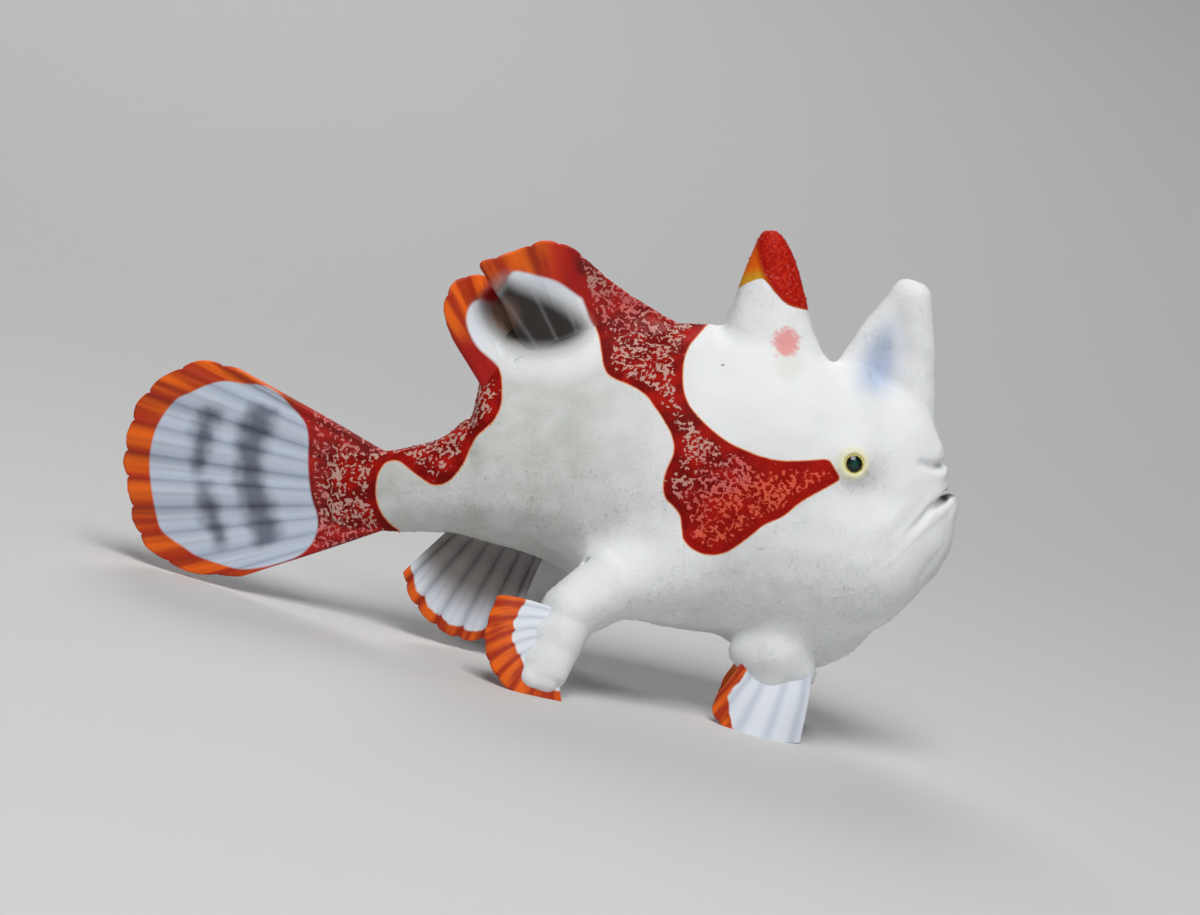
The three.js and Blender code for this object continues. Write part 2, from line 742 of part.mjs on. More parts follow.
// A fan of rays joined by a thin web, with each ray raised on both faces
function fin(rays, changes = {}) {
  const shape = { ...FIN_SHAPE, ...changes };
  const columns = finColumns(rays, shape);
  const positions = [...finFace(columns, 1, shape), ...finFace(columns, -1, shape)];
  return solidOf(positions, finTriangles(columns.length, shape.steps));
}

const vector = ([x, y, z]) => new THREE.Vector3(x, y, z);

// Rays spread evenly along a root line, each to its own tip
function raysTo(rootPoints, tips, bow) {
  const rootLine = new THREE.CatmullRomCurve3(rootPoints.map(vector), false, "centripetal");
  return tips.map((tip, i) => ({
    root: rootLine.getPoint(i / (tips.length - 1)),
    tip: vector(tip),
    bow: vector(bow),
  }));
}

// Rays spread evenly between a root line and a margin line, each line a few points
function raysBetween(rootPoints, marginPoints, count, bow) {
  const margin = new THREE.CatmullRomCurve3(marginPoints.map(vector), false, "centripetal");
  const tips = Array.from({ length: count }, (_, i) => margin.getPoint(i / (count - 1)).toArray());
  return raysTo(rootPoints, tips, bow);
}

// Assembly

const finished = new THREE.Group();
const upper = new THREE.Group();

function add(name, made, color, roughness = SKIN_ROUGHNESS) {
  const material = new THREE.MeshStandardMaterial({ color, roughness, metalness: 0 });
  const mesh = new THREE.Mesh(geometryOf(largest(made)), material);
  mesh.name = name;
  upper.add(mesh);
}

// A box round points, grown on every side
function boxRound(points, grow) {
  const box = new THREE.Box3().setFromPoints(points.map(vector)).expandByScalar(grow);
  return { low: box.min.toArray(), high: box.max.toArray() };
}

const grown = (field) => (x, y, z) => field(x, y, z) - GAP;

// A solid with a gap cut free round a field's surface
function clearOf(made, field, margin) {
  const { min, max } = made.boundingBox();
  return made.subtract(skin(grown(field), boxRound([min, max], margin), CLEAR_CELL));
}

const underFloor = sideBlock([
  [-BLOCK_REACH, floorZ(-BLOCK_REACH)],
  [BLOCK_REACH, floorZ(BLOCK_REACH)],
  [BLOCK_REACH, -BLOCK_REACH],
  [-BLOCK_REACH, -BLOCK_REACH],
]);

// Body: skinned in two stretches and parted by the cuts
const front = skin(bodyField, FRONT_BOX, HEAD_CELL);
const rear = skin(bodyField, REAR_BOX, BODY_CELL);
const torso = rear.subtract(blockBeside(NECK_LINE, 1)).subtract(blockBeside(STEM_LINE, -1));
const stem = rear.subtract(blockBeside(STEM_LINE, 1)).subtract(blockBeside(upLine(STEM_END), -1));
add("torso", torso, WHITE);
add("tail_stem", stem, WHITE);

// A round bar along a curve
function bar(curve, radius, sides, steps) {
  const points = Array.from({ length: sides }, (_, i) => {
    const turn = (2 * Math.PI * i) / sides;
    return new THREE.Vector2(radius * Math.cos(turn), radius * Math.sin(turn));
  });
  return solid(new THREE.ExtrudeGeometry(new THREE.Shape(points), { steps, extrudePath: curve }));
}

// Lips, eye rims and sockets
function underSkin(start, depth) {
  const sunk = (x, y, z) => bodyField(x, y, z) + depth;
  return vector(settle(sunk, start, LINE_SETTLING.rounds, LINE_SETTLING.reach));
}

// A lip runs from the front round to the corners of the mouth, where it dives under the skin
function lip({ rise, radius, sunk }) {
  const corner = MOUTH.length - 1;
  const depthAt = (i) => sunk + (i === corner ? radius : 0);
  const sideOf = (side) =>
    MOUTH.map(([x, z], i) => underSkin([x, side * trunk.flank(x, z + rise), z + rise], depthAt(i))).slice(1);
  const middle = underSkin([MOUTH_FRONT, 0, MOUTH[1][1] + rise], sunk);
  const points = [...sideOf(-1).reverse().slice(0, -1), middle, ...sideOf(1).slice(1)];
  return bar(new THREE.CatmullRomCurve3(points), radius, LIP_SIDES, LIP_STEPS);
}

const eyeball = (centre, radius) =>
  solid(new THREE.SphereGeometry(radius, EYE.around, EYE.down)).translate(centre);
let skull = front.subtract(blockBeside(NECK_LINE, -1)).add(lip(UPPER_LIP)).add(lip(LOWER_LIP));
for (const side of SIDES) {
  const rim = new THREE.TorusGeometry(EYE_RIM.radius, EYE_RIM.thickness, EYE_RIM.sides, EYE_RIM.around);
  rim.rotateX(Math.PI / 2);
  rim.translate(...onFlank(side, EYE, EYE_RIM.depth));
  const eyeAt = onFlank(side, EYE, EYE.depth);
  skull = skull.add(solid(rim)).subtract(eyeball(eyeAt, EYE.radius + GAP));
  add(side > 0 ? "eye_left" : "eye_right", eyeball(eyeAt, EYE.radius), BLACK, EYE_ROUGHNESS);
}
const jawCut = knife([...MOUTH, ...JAW_CUT_BELOW]);
const [upperHead, lowerJaw] = skull
  .subtract(jawCut)
  .decompose()
  .sort((a, b) => b.volume() - a.volume());
const nostrilProfile = [
  [NOSTRIL.inner, 0],
  [NOSTRIL.outer, 0],
  [NOSTRIL.outer * NOSTRIL.taper, NOSTRIL.height],
  [NOSTRIL.inner, NOSTRIL.height],
  [NOSTRIL.inner, 0],
].map(([r, h]) => new THREE.Vector2(r, h));
let head = upperHead;
for (const side of SIDES) {
  const tube = new THREE.LatheGeometry(nostrilProfile, NOSTRIL_SIDES);
  const lean = new THREE.Quaternion().setFromUnitVectors(
    new THREE.Vector3(0, 1, 0),
    vector(mirrored(side, NOSTRIL_WAY)).normalize(),
  );
  tube.applyQuaternion(lean);
  tube.translate(NOSTRIL.x, side * NOSTRIL.y, NOSTRIL.z);
  head = head.add(solid(tube));
}
add("head", head, WHITE);
add("lower_jaw", lowerJaw, WHITE);

// Dorsal spines
function outgrowth(field, fillet, box, cell) {
  return clearOf(skin(withLimb(field, fillet), box, cell), bodyField, SPINE_MARGIN);
}
const second = outgrowth(secondSpine, SPINE_BLEND, SECOND_SPINE_BOX, SPINE_CELL);
const third = outgrowth(thirdSpine.field, SPINE_BLEND, THIRD_SPINE_BOX, LIMB_CELL);
add("dorsal_spine_2", second, WHITE);
add("dorsal_spine_3", clearOf(largest(third), secondSpine, SPINE_MARGIN), RED);

// Arms and hands, legs and feet
for (const side of SIDES) {
  const end = side > 0 ? "left" : "right";
  const parts = side > 0 ? left : right;
  const armBox = boxRound(armJoints(side), LIMB_MARGIN);
  const arm = outgrowth(armOf(parts), ARM_BLEND, armBox, LIMB_CELL);
  add(`arm_${end}`, arm, WHITE);
  const handLine = (points) => points.map((point) => onHand(side, point));
  const handBow = mirrored(side, HAND_BOW);
  const hand = fin(raysBetween(handLine(HAND_ROOT), handLine(HAND_MARGIN), HAND_RAYS, handBow));
  const handClear = clearOf(hand, withLimb(armOf(parts), ARM_BLEND), FIN_MARGIN);
  add(`hand_${end}`, handClear.subtract(underFloor), PALE_FIN);
  const footLine = (points) => points.map((point) => onFoot(side, point));
  const legBox = boxRound(footLine(LEG), LIMB_MARGIN);
  const leg = outgrowth(legOf(parts), LEG_BLEND, legBox, LIMB_CELL);
  const footBow = mirrored(side, FOOT_BOW);
  const foot = fin(raysBetween(footLine(FOOT_ROOT), footLine(FOOT_MARGIN), FOOT_RAYS, footBow), FOOT_SHAPE);
  const whole = largest(leg).add(foot).subtract(underFloor);
  add(`foot_${end}`, clearOf(whole, bodyField, FIN_MARGIN), WHITE);
}

// Middle fins
const middleFin = (name, rays) => add(name, clearOf(fin(rays), bodyField, FIN_MARGIN), PALE_FIN);
middleFin("dorsal_fin", raysTo(DORSAL_ROOT, DORSAL_TIPS, DORSAL_BOW));
middleFin("anal_fin", raysBetween(ANAL_ROOT, ANAL_MARGIN, ANAL_RAYS, ANAL_BOW));
const tail = fin(raysTo(TAIL_ROOT, TAIL_TIPS, TAIL_BOW), TAIL_SHAPE);
add("tail_fin", tail.subtract(blockBeside(upLine(STEM_END - GAP), 1)), PALE_FIN);

// Fishing rod and bait
function pebble({ at, size }) {
  const geometry = new THREE.SphereGeometry(1, PEBBLE.around, PEBBLE.down);
  geometry.scale(...size);
  geometry.translate(...at);
  return solid(geometry);
}
const rod = bar(new THREE.CatmullRomCurve3(ROD.map(vector)), ROD_RADIUS, ROD_SIDES, ROD_STEPS);
let lure = rod.add(pebble(ROD_BULB)).add(pebble(BAIT));
for (const turn of BAIT_LOBE.turns) {
  const lobe = new THREE.ConeGeometry(BAIT_LOBE.radius, BAIT_LOBE.length, BAIT_LOBE.sides);
  lobe.translate(0, BAIT_LOBE.length / 2 + BAIT_LOBE.lift, 0);
  lobe.rotateZ(turn);
  lobe.rotateX(Math.PI / 2);
  lobe.translate(...BAIT.at);
  lure = lure.add(solid(lobe));
}
add("lure", clearOf(lure, withLimb(secondSpine, SPINE_BLEND), FIN_MARGIN), WHITE);

// Tilted head up on to its floor, with the origin under the middle of the whole
upper.rotation.y = -PITCH;
finished.add(upper);
finished.updateMatrixWorld(true);
const bounds = new THREE.Box3().setFromObject(finished, true);
const middle = bounds.getCenter(new THREE.Vector3());
upper.position.set(-middle.x, -middle.y, -bounds.min.z);

export default finished;
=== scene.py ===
# A young clown frogfish: one skin over head, body, arms and legs, with fins, eyes and lure of their own.
# Lengths are millimetres in the fish's own upright frame (+X to the mouth, +Y to its left, +Z up) until
# place() turns them head up and puts them in the frame, in metres.
import math

import bpy
import numpy as np
from mathutils import Matrix, Vector


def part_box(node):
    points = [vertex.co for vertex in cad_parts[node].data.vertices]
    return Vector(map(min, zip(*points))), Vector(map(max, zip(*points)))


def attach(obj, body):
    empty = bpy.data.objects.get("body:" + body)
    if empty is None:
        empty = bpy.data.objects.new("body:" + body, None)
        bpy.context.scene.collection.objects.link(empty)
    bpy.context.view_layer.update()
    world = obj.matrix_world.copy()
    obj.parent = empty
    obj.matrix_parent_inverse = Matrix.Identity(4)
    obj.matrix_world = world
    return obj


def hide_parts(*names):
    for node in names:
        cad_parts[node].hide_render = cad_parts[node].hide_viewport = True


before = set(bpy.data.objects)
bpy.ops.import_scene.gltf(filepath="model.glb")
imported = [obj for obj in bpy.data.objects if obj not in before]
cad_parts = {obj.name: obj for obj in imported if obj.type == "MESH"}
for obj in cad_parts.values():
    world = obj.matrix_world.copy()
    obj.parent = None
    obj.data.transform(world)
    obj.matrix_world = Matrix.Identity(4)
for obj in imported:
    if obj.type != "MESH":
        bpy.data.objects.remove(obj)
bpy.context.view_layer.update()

MM = 0.001
PITCH = math.radians(14)
BODY = "root"

# Size of a cell of the skin, cells along a coarse block, how near the surface a block counts (in blocks),
# points worked out at once, the step for slopes, and the value of a field far from its shape
SKIN_CELL = 0.11
COARSE_STEPS = 5
BLOCK_MARGIN = 1.35
BATCH = 400000
PROBE = 0.02
FAR_AWAY = 50.0

# The least half-width of a section, and a length that only keeps divisions from failing
THINNEST = 0.02
TINY = 1e-9

# Body outline: x, top, bottom, half-width of the sections across X
TRUNK = [
    [-14.2, 15.2, 9.7, 0.08], [-13.4, 14.9, 10.0, 0.26], [-12.4, 14.6, 10.2, 0.46],
    [-11.4, 14.5, 10.3, 0.66], [-10.4, 14.55, 10.25, 0.85], [-9.0, 14.8, 10.3, 1.35],
    [-7.5, 15.2, 10.3, 1.85], [-6.0, 15.8, 9.95, 2.35], [-4.0, 16.7, 9.4, 3.0], [-2.0, 17.6, 8.5, 3.6],
    [0.0, 18.5, 7.0, 4.2], [2.5, 19.5, 5.9, 4.75], [5.0, 20.2, 5.3, 5.05], [7.5, 20.3, 5.1, 5.1],
    [10.0, 19.7, 5.1, 4.95], [12.5, 18.3, 5.4, 4.5], [14.5, 17.0, 6.15, 3.85], [16.0, 15.75, 7.3, 3.2],
    [17.0, 14.5, 8.3, 2.7], [17.6, 13.5, 9.3, 2.1], [18.1, 12.0, 11.2, 0.1],
]
NOSE_ROUNDING = 4.0
SECTION_POWER = 2.15
WIDEST_SHARE = 0.44
RIDGE = [
    [-6.45, 15.6, 15.0, 0.5], [-6.2, 17.0, 13.5, 0.85], [-5.9, 18.7, 12.0, 1.05],
    [-5.3, 19.9, 12.0, 1.15], [-4.0, 20.8, 12.0, 1.25], [-2.0, 21.6, 12.5, 1.35],
    [0.0, 22.1, 13.0, 1.45], [1.5, 21.6, 13.5, 1.5], [3.2, 20.8, 14.0, 1.5], [5.4, 20.3, 15.0, 1.4],
]
RIDGE_BLEND = 2.2
RIDGE_POWER = 1.15
RIDGE_ROUNDING = 0.01
THIRD_SPINE = [
    [16.5, 11.8, 5.0, 2.6], [19.0, 11.3, 5.7, 2.1], [20.5, 10.75, 6.1, 1.75], [22.0, 10.4, 6.6, 1.45],
    [23.5, 9.95, 7.15, 1.15], [24.8, 9.35, 7.7, 0.85], [25.5, 8.5, 8.3, 0.1],
]
SPINE_ROUNDING = 1.5
SPINE_BLEND = 0.5
SPINE_SIDE_BLEND = 1.3
SECOND_SPINE = [
    [15.2, 0, 15.0, 1.5], [15.75, 0, 17.0, 1.05], [15.85, 0, 19.5, 0.95], [15.65, 0, 22.05, 0.95],
]
SPINE_WEB_BLEND = 0.55
SECOND_WEB = [
    [15.5, 15.5, 9.8, 1.3], [18.0, 15.8, 11.2, 0.95], [19.5, 15.9, 12.2, 0.72],
    [21.0, 15.9, 13.25, 0.6], [22.2, 15.8, 14.2, 0.55], [23.05, 15.3, 15.1, 0.1],
]
WEB_HOLLOW = {"at": (13.8, 2.05, 18.7), "size": (1.1, 1.65, 2.2), "blend": 0.6}
MOUTH = [[17.3, 12.3], [16.7, 12.0], [16.1, 11.5], [15.5, 11.05], [14.9, 10.65]]
MOUTH_FRONT = 17.3
UPPER_LIP = {"rise": 0.3, "radius": 0.18, "sunk": 0.25, "corner": -1.2}
LOWER_LIP = {"rise": -0.36, "radius": 0.26, "sunk": 0.27, "corner": -1.5}
LIP_BLEND = 0.65
MOUTH_GAP = {"radius": 0.12, "corner": -1.9, "blend": 0.35}
MOUTH_SHADE = (0.15, 0.0)
MOUTH_SLIT = {"at": (17.2, 0, 12.43), "size": (0.85, 1.45, 0.19), "blend": 0.15, "reach": 2.5}
LIP_POINTS = 25
BAR_MARGIN = 0.8
EYE = {"x": 12.25, "z": 14.2, "radius": 0.75, "depth": 0.15}
BROW = {"radius": 1.6, "depth": 1.15, "blend": 0.7, "reach": 4}
NOSTRIL = {
    "at": (16.25, 0.95, 14.35),
    "way": (0.75, 0.45, 0.5),
    "radii": (0.28, 0.2016),
    "length": 0.5,
    "blend": 0.3,
}
SNOUT_KNOBS = [
    [16.7, 0.0, 14.5, 0.68], [16.35, 0.8, 14.5, 0.6], [16.85, 0.0, 13.35, 0.58],
    [16.6, 0.9, 13.15, 0.5], [15.9, 1.9, 12.85, 0.55],
]
KNOB_BLEND = 0.35
KNOB_REACH = 2
CREASE_POINTS = 9
SNOUT_CREASE = {
    "line": [(17.35, 0, 13.95), (17.0, 0.9, 13.85), (16.3, 1.7, 13.8), (15.7, 2.2, 13.95)],
    "radius": 0.2,
    "corner": 0.4,
    "blend": 0.35,
}
CHIN_CREASE = {
    "line": [(17.35, 1.3, 10.6), (16.6, 2.2, 9.6), (15.8, 2.8, 8.7), (14.9, 3.0, 7.7)],
    "radius": -1.2,
    "corner": 1.6,
    "blend": 1.9,
}
FACE_FRONT = [
    [5.0, 15.0, 15.0], [6.9, 15.85, 15.85], [7.4, 16.3, 16.3], [7.85, 16.75, 16.75],
    [8.35, 17.05, 17.05], [8.85, 17.2, 17.2], [9.25, 17.4, 17.4], [10.25, 17.66, 17.66],
    [11.3, 17.9, 17.75], [11.65, 18.0, 17.72], [11.95, 17.76, 17.66], [12.15, 17.58, 17.65],
    [12.32, 16.95, 17.55], [12.45, 16.7, 17.48], [12.58, 16.95, 17.42], [12.75, 17.3, 17.4],
    [13.1, 17.22, 17.3], [13.6, 17.42, 17.3], [13.9, 17.25, 17.24], [14.05, 17.05, 17.2],
    [14.4, 17.3, 17.12], [14.75, 17.15, 17.0], [15.15, 16.75, 16.8], [15.55, 16.55, 16.6],
    [16.0, 16.5, 16.5], [18.0, 16.7, 16.7],
]
FACE_SIDE_Y = 1.9
FACE_BOW = 0.15
FACE_DROP = 0.13
FACE_STEEP = 1.2
FACE_BLEND = 0.7
FACE_PROBE = 0.04
EYE_HOLLOW = {"at": (14.1, 4.75, 12.85), "size": (0.9, 0.75, 0.8), "blend": 0.9, "reach": 3}
CHEEK = {"at": (11.6, 2.0, 9.3), "size": (4.7, 3.1, 3.9), "blend": 1.0}
THROAT = {"at": (9.9, 0, 5.9), "size": (3.7, 2.6, 2.5), "blend": 1.2}
GILL_PORE = {"at": (-0.6, 4.4, 9.3), "size": (0.2, 0.2, 0.2), "blend": 0.25, "reach": 2}
ARM = [
    [2.9, 2.9, 8.8, 2.6], [0.6, 4.4, 8.3, 1.85], [-1.4, 5.6, 7.2, 1.5], [-2.15, 6.4, 5.3, 1.0],
    [-2.4, 6.95, 4.4, 0.8], [-2.6, 7.25, 3.95, 0.58],
]
PALM = [
    [[-2.1, 6.3, 5.9, 0.85], [-3.05, 6.85, 4.9, 0.68], [-3.45, 7.15, 4.25, 0.5]],
    [[-2.2, 6.4, 5.5, 0.8], [-3.7, 6.85, 5.3, 0.44]],
    [[-2.1, 6.2, 6.3, 0.85], [-3.3, 6.4, 6.5, 0.5], [-3.9, 6.45, 6.8, 0.34]],
    [[-2.5, 6.9, 4.6, 0.7], [-3.4, 7.4, 4.25, 0.34]],
]
PALM_BLEND = 0.8
ARM_SWING_JOINTS = 3
ARM_BLEND = 1.4
LEFT_HAND_BACK = 1.9
LEFT_FOOT_BACK = -0.5
LEG = [[9.4, 1.5, 6.4, 2.0], [8.9, 2.05, 4.9, 1.6]]
ANKLES = [
    [[8.8, 2.05, 4.6, 1.4], [8.4, 2.8, 2.4, 0.6]],
    [[8.8, 2.05, 4.6, 1.2], [7.2, 2.6, 2.7, 0.5]],
    [[8.9, 2.05, 4.6, 1.2], [10.0, 2.5, 3.6, 0.7]],
]
ANKLE_BLEND = 0.8
CALF = {"at": (8.2, 2.35, 4.75), "size": (1.95, 1.25, 1.35), "blend": 0.5}
LEG_BLEND = 0.8
SWAY_FROM_X = -2.0
SWAY_LENGTH = 22.0
SWAY = 2.6
FLOOR_AT_X = 8.25
FLOOR_AT_Z = 0.6
SIDES = {-1: "right", 1: "left"}

# Fine features that only show on the skin
COAT_DEPTH = 0.05
EYE_WINDOW = {"radius": 0.45, "length": 3, "blend": 0.12}
EYE_LID = {"ring": 0.54, "height": 0.42, "thickness": 0.08, "blend": 0.6, "points": 17}
EYE_AXIS = {"height": 0.2, "probe": 0.4}
EYE_FRONT = 0.8
WAVES = {"count": 9, "shortest": 0.7, "longest": 1.4}
SLOW_WAVES = {"wavelength": 6.0, "height": 0.05, "seed": 3}
QUICK_WAVES = {"wavelength": 1.5, "height": 0.012, "seed": 4}
WAVES_FADE = 2


def sway(x):
    return SWAY * (np.maximum(SWAY_FROM_X - x, 0) / SWAY_LENGTH) ** 2


def floor_z(x):
    return FLOOR_AT_Z - math.tan(PITCH) * (x - FLOOR_AT_X)


def unit(ways):
    return ways / np.maximum(np.linalg.norm(ways, axis=-1, keepdims=True), TINY)


def mirrored(side, joint):
    return (joint[0], side * joint[1], *joint[2:])


def sides_of(make):
    return [make(side) for side in SIDES]


# Fields: arrays of x, y, z in, about the distance to a surface out, negative inside


def table_curve(rows):
    """A smooth curve through table rows, whose first column is the place and the others the values."""
    rows = np.array(rows, float)
    before = np.vstack([rows[:1], rows[:-1]])
    after = np.vstack([rows[1:], rows[-1:]])
    slopes = (after - before)[:, 1:] / (after - before)[:, :1]

    def values(place):
        i = np.clip(np.searchsorted(rows[:, 0], place, side="left") - 1, 0, len(rows) - 2)
        span = rows[i + 1, 0] - rows[i, 0]
        t = np.clip((place - rows[i, 0]) / span, 0, 1)
        rise = t * t * (3 - 2 * t)
        leave = span * t * (1 - t) ** 2
        arrive = -span * t * t * (1 - t)
        found = []
        for c in range(1, rows.shape[1]):
            step = rows[i + 1, c] - rows[i, c]
            bend = leave * slopes[i, c - 1] + arrive * slopes[i + 1, c - 1]
            found.append(rows[i, c] + rise * step + bend)
        return found

    return values


class Loft:
    """Sections along an axis, each a rounded oblong between two edges, the last stretch rounded off."""

    def __init__(self, rows, upright, rounding, power=2.0, widest=0.5):
        self.start, self.end = rows[0][0], rows[-1][0]
        self.upright, self.rounding, self.power, self.widest = upright, rounding, power, widest
        places = self.stretch(np.array([row[0] for row in rows]))
        self.curve = table_curve([[s, *row[1:]] for s, row in zip(places, rows)])

    def stretch(self, s):
        begin = self.end - self.rounding
        share = np.clip((s - begin) / self.rounding, 0, 1)
        return np.where(s <= begin, s, begin + self.rounding * np.arcsin(share))

    def section(self, s):
        high, low, half = self.curve(self.stretch(np.clip(s, self.start, self.end)))
        middle = low + self.widest * (high - low)
        return high, low, np.maximum(half, THINNEST), middle

    def __call__(self, x, y, z):
        along, across, out = (z, x, y) if self.upright else (x, z, y)
        high, low, half, middle = self.section(along)
        reach = np.maximum(np.where(across > middle, high - middle, middle - low), THINNEST)
        up, aside = np.abs((across - middle) / reach), np.abs(out / half)
        size = (up**self.power + aside**self.power) ** (1 / self.power)
        far = np.hypot(across - middle, out)
        beside = np.where(size > 1e-4, far * (1 - 1 / np.maximum(size, 1e-4)), -np.minimum(reach, half))
        past = np.maximum(self.start - along, along - self.end)
        inside = np.minimum(np.maximum(beside, past), 0)
        return inside + np.hypot(np.maximum(beside, 0), np.maximum(past, 0))

    def flank(self, along, across):
        """Half-width at one place of the side view."""
        high, low, half, middle = self.section(np.array(float(along)))
        reach = high - middle if across > middle else middle - low
        share = min(abs((across - middle) / reach), 1.0)
        return float(half * (1 - share**self.power) ** (1 / self.power))


def limb(joints):
    """A chain of tapering round bars through joints given as x, y, z, radius."""
    joints = [np.array(joint, float) for joint in joints]

    def field(x, y, z):
        nearest = np.full(np.shape(x), np.inf)
        for a, b in zip(joints[:-1], joints[1:]):
            d = b - a
            from_a = x - a[0], y - a[1], z - a[2]
            along = sum(v * e for v, e in zip(from_a, d))
            t = np.clip(along / (d[:3] @ d[:3]), 0, 1)
            far = np.sqrt(sum((v - t * e) ** 2 for v, e in zip(from_a, d)))
            nearest = np.minimum(nearest, far - (a[3] + t * d[3]))
        return nearest

    return field


def ball(centre, size):
    def field(x, y, z):
        d = [(v - c) for v, c in zip((x, y, z), centre)]
        far = np.sqrt(sum((v / r) ** 2 for v, r in zip(d, size)))
        slope = np.sqrt(sum((v / r**2) ** 2 for v, r in zip(d, size)))
        return np.where(slope > 1e-6, far * (far - 1) / np.maximum(slope, 1e-6), -min(size))

    return field


def blend(a, b, fillet):
    near = np.maximum(fillet - np.abs(a - b), 0) / fillet
    return np.minimum(a, b) - near * near * fillet / 4


def hollow(a, b, fillet):
    return -blend(-a, b, fillet)


def join_all(d, parts, fillet, at):
    for part in parts:
        d = blend(d, part(*at), fillet)
    return d


def hollow_all(d, parts, fillet, at):
    for part in parts:
        d = hollow(d, part(*at), fillet)
    return d


def leg_field(side):
    leg = limb([on_foot(side, joint) for joint in LEG])
    ankles = [local_limb([on_foot(side, joint) for joint in bar]) for bar in ANKLES]
    return lambda x, y, z: join_all(leg(x, y, z), ankles, ANKLE_BLEND, (x, y, z))


trunk = Loft(TRUNK, upright=False, rounding=NOSE_ROUNDING, power=SECTION_POWER, widest=WIDEST_SHARE)
ridge = Loft(RIDGE, upright=False, rounding=RIDGE_ROUNDING, power=RIDGE_POWER)
third_spine = Loft(THIRD_SPINE, upright=True, rounding=SPINE_ROUNDING)
second_web = Loft(SECOND_WEB, upright=True, rounding=SPINE_ROUNDING)
second_column = limb(SECOND_SPINE)
throat = ball(THROAT["at"], THROAT["size"])


def set_back(side, point, left_back):
    """A point of a limb on one side, set back along the floor on the left side."""
    x, y, z, *rest = point
    moved = x - left_back if side > 0 else x
    return (moved, side * y, z + floor_z(moved) - floor_z(x), *rest)


def on_hand(side, point, share=1.0):
    return set_back(side, point, LEFT_HAND_BACK * share)


def on_foot(side, point):
    return set_back(side, point, LEFT_FOOT_BACK)


def arm_field(side):
    arm = limb([on_hand(side, joint, min(i / ARM_SWING_JOINTS, 1)) for i, joint in enumerate(ARM)])
    palm = [local_limb([on_hand(side, joint) for joint in bar]) for bar in PALM]
    return lambda x, y, z: join_all(arm(x, y, z), palm, PALM_BLEND, (x, y, z))


def on_flank(side, at, depth):
    return np.array([at["x"], side * (trunk.flank(at["x"], at["z"]) - depth), at["z"]])


def local(field, centre, reach):
    """A field worked out only near one place, and far outside it elsewhere."""
    centre = np.array(centre, float)

    def near(x, y, z):
        found = np.full(np.shape(x), FAR_AWAY)
        close = (abs(x - centre[0]) < reach) & (abs(y - centre[1]) < reach) & (abs(z - centre[2]) < reach)
        if close.any():
            found[close] = field(x[close], y[close], z[close])
        return found

    return near


def local_limb(joints, margin=1.5):
    spots = np.array(joints)[:, :3]
    middle = (spots.min(0) + spots.max(0)) / 2
    reach = (spots.max(0) - spots.min(0)).max() / 2 + max(joint[3] for joint in joints) + margin
    return local(limb(joints), middle, reach)


def slopes_at(field, points):
    """Field values at points, and how steeply they change along x, y and z."""
    value = field(*points.T)
    slope = np.stack([field(*(points + d).T) - value for d in np.eye(3) * PROBE], 1) / PROBE
    return value, slope


def settle(field, points, rounds=4, least=0.1, reach=0.5):
    """Moves a few points, however far off, on to the surface where a field is zero."""
    points = np.array(points, float)
    for _ in range(rounds):
        value, slope = slopes_at(field, points)
        steep = np.maximum((slope**2).sum(1), least)
        points -= np.clip(value / steep, -reach, reach)[:, None] * slope
    return points


def curve_through(points, count):
    """Points spread evenly over a smooth centripetal curve through the given ones."""
    p = np.array(points, float)
    p = np.vstack([2 * p[0] - p[1], p, 2 * p[-1] - p[-2]])
    place = np.linspace(0, len(points) - 1, count)
    i = np.minimum(place.astype(int), len(points) - 2)
    t = (place - i)[:, None]
    a, b, c, d = p[i], p[i + 1], p[i + 2], p[i + 3]
    before, along, after = (
        np.maximum(np.linalg.norm(v - u, axis=1), 1e-6)[:, None] ** 0.5 for u, v in ((a, b), (b, c), (c, d))
    )
    leave = ((b - a) / before - (c - a) / (before + along) + (c - b) / along) * along
    arrive = ((c - b) / along - (d - b) / (along + after) + (d - c) / after) * along
    rise = t * t * (3 - 2 * t)
    return b + rise * (c - b) + t * (1 - t) ** 2 * leave - t * t * (1 - t) * arrive


def waves(wavelength, height, seed):
    """Gentle unevenness: a sum of waves in all directions."""
    random = np.random.default_rng(seed)
    count = WAVES["count"]
    ways = unit(random.normal(size=(count, 3))) * 2 * math.pi / wavelength
    ways *= random.uniform(WAVES["shortest"], WAVES["longest"], (count, 1))
    starts = random.uniform(0, 2 * math.pi, count)

    def field(x, y, z):
        total = np.zeros(np.shape(x))
        for (a, b, c), start in zip(ways, starts):
            total += np.sin(a * x + b * y + c * z + start)
        return total * height / math.sqrt(count)

    return field


def side_balls(shape):
    """A ball on each side, worked out only near its middle if the shape has a reach."""
    def one(side):
        at = mirrored(side, shape["at"])
        whole = ball(at, shape["size"])
        return local(whole, at, shape["reach"]) if "reach" in shape else whole

    return sides_of(one)


def brow(side):
    whole = ball(on_flank(side, EYE, BROW["depth"]), [BROW["radius"]] * 3)
    return local(whole, on_flank(side, EYE, 0), BROW["reach"])


cheeks, pores, web_hollows, eye_hollows = map(side_balls, (CHEEK, GILL_PORE, WEB_HOLLOW, EYE_HOLLOW))
brows = sides_of(brow)
arms = sides_of(arm_field)
legs = sides_of(leg_field)
calves = sides_of(lambda side: ball(on_foot(side, CALF["at"]), CALF["size"]))
knobs = [
    local(ball((x, side * y, z), (r, r, r)), (x, side * y, z), KNOB_REACH)
    for x, y, z, r in SNOUT_KNOBS
    for side in (SIDES if y else [1])
]
face_curve = table_curve(FACE_FRONT)


def front_of_face(z, aside):
    """The profile's x at a height, from the middle of the face to a plainer one at its sides."""
    middle, side = face_curve(z)
    return middle + (side - middle) * aside


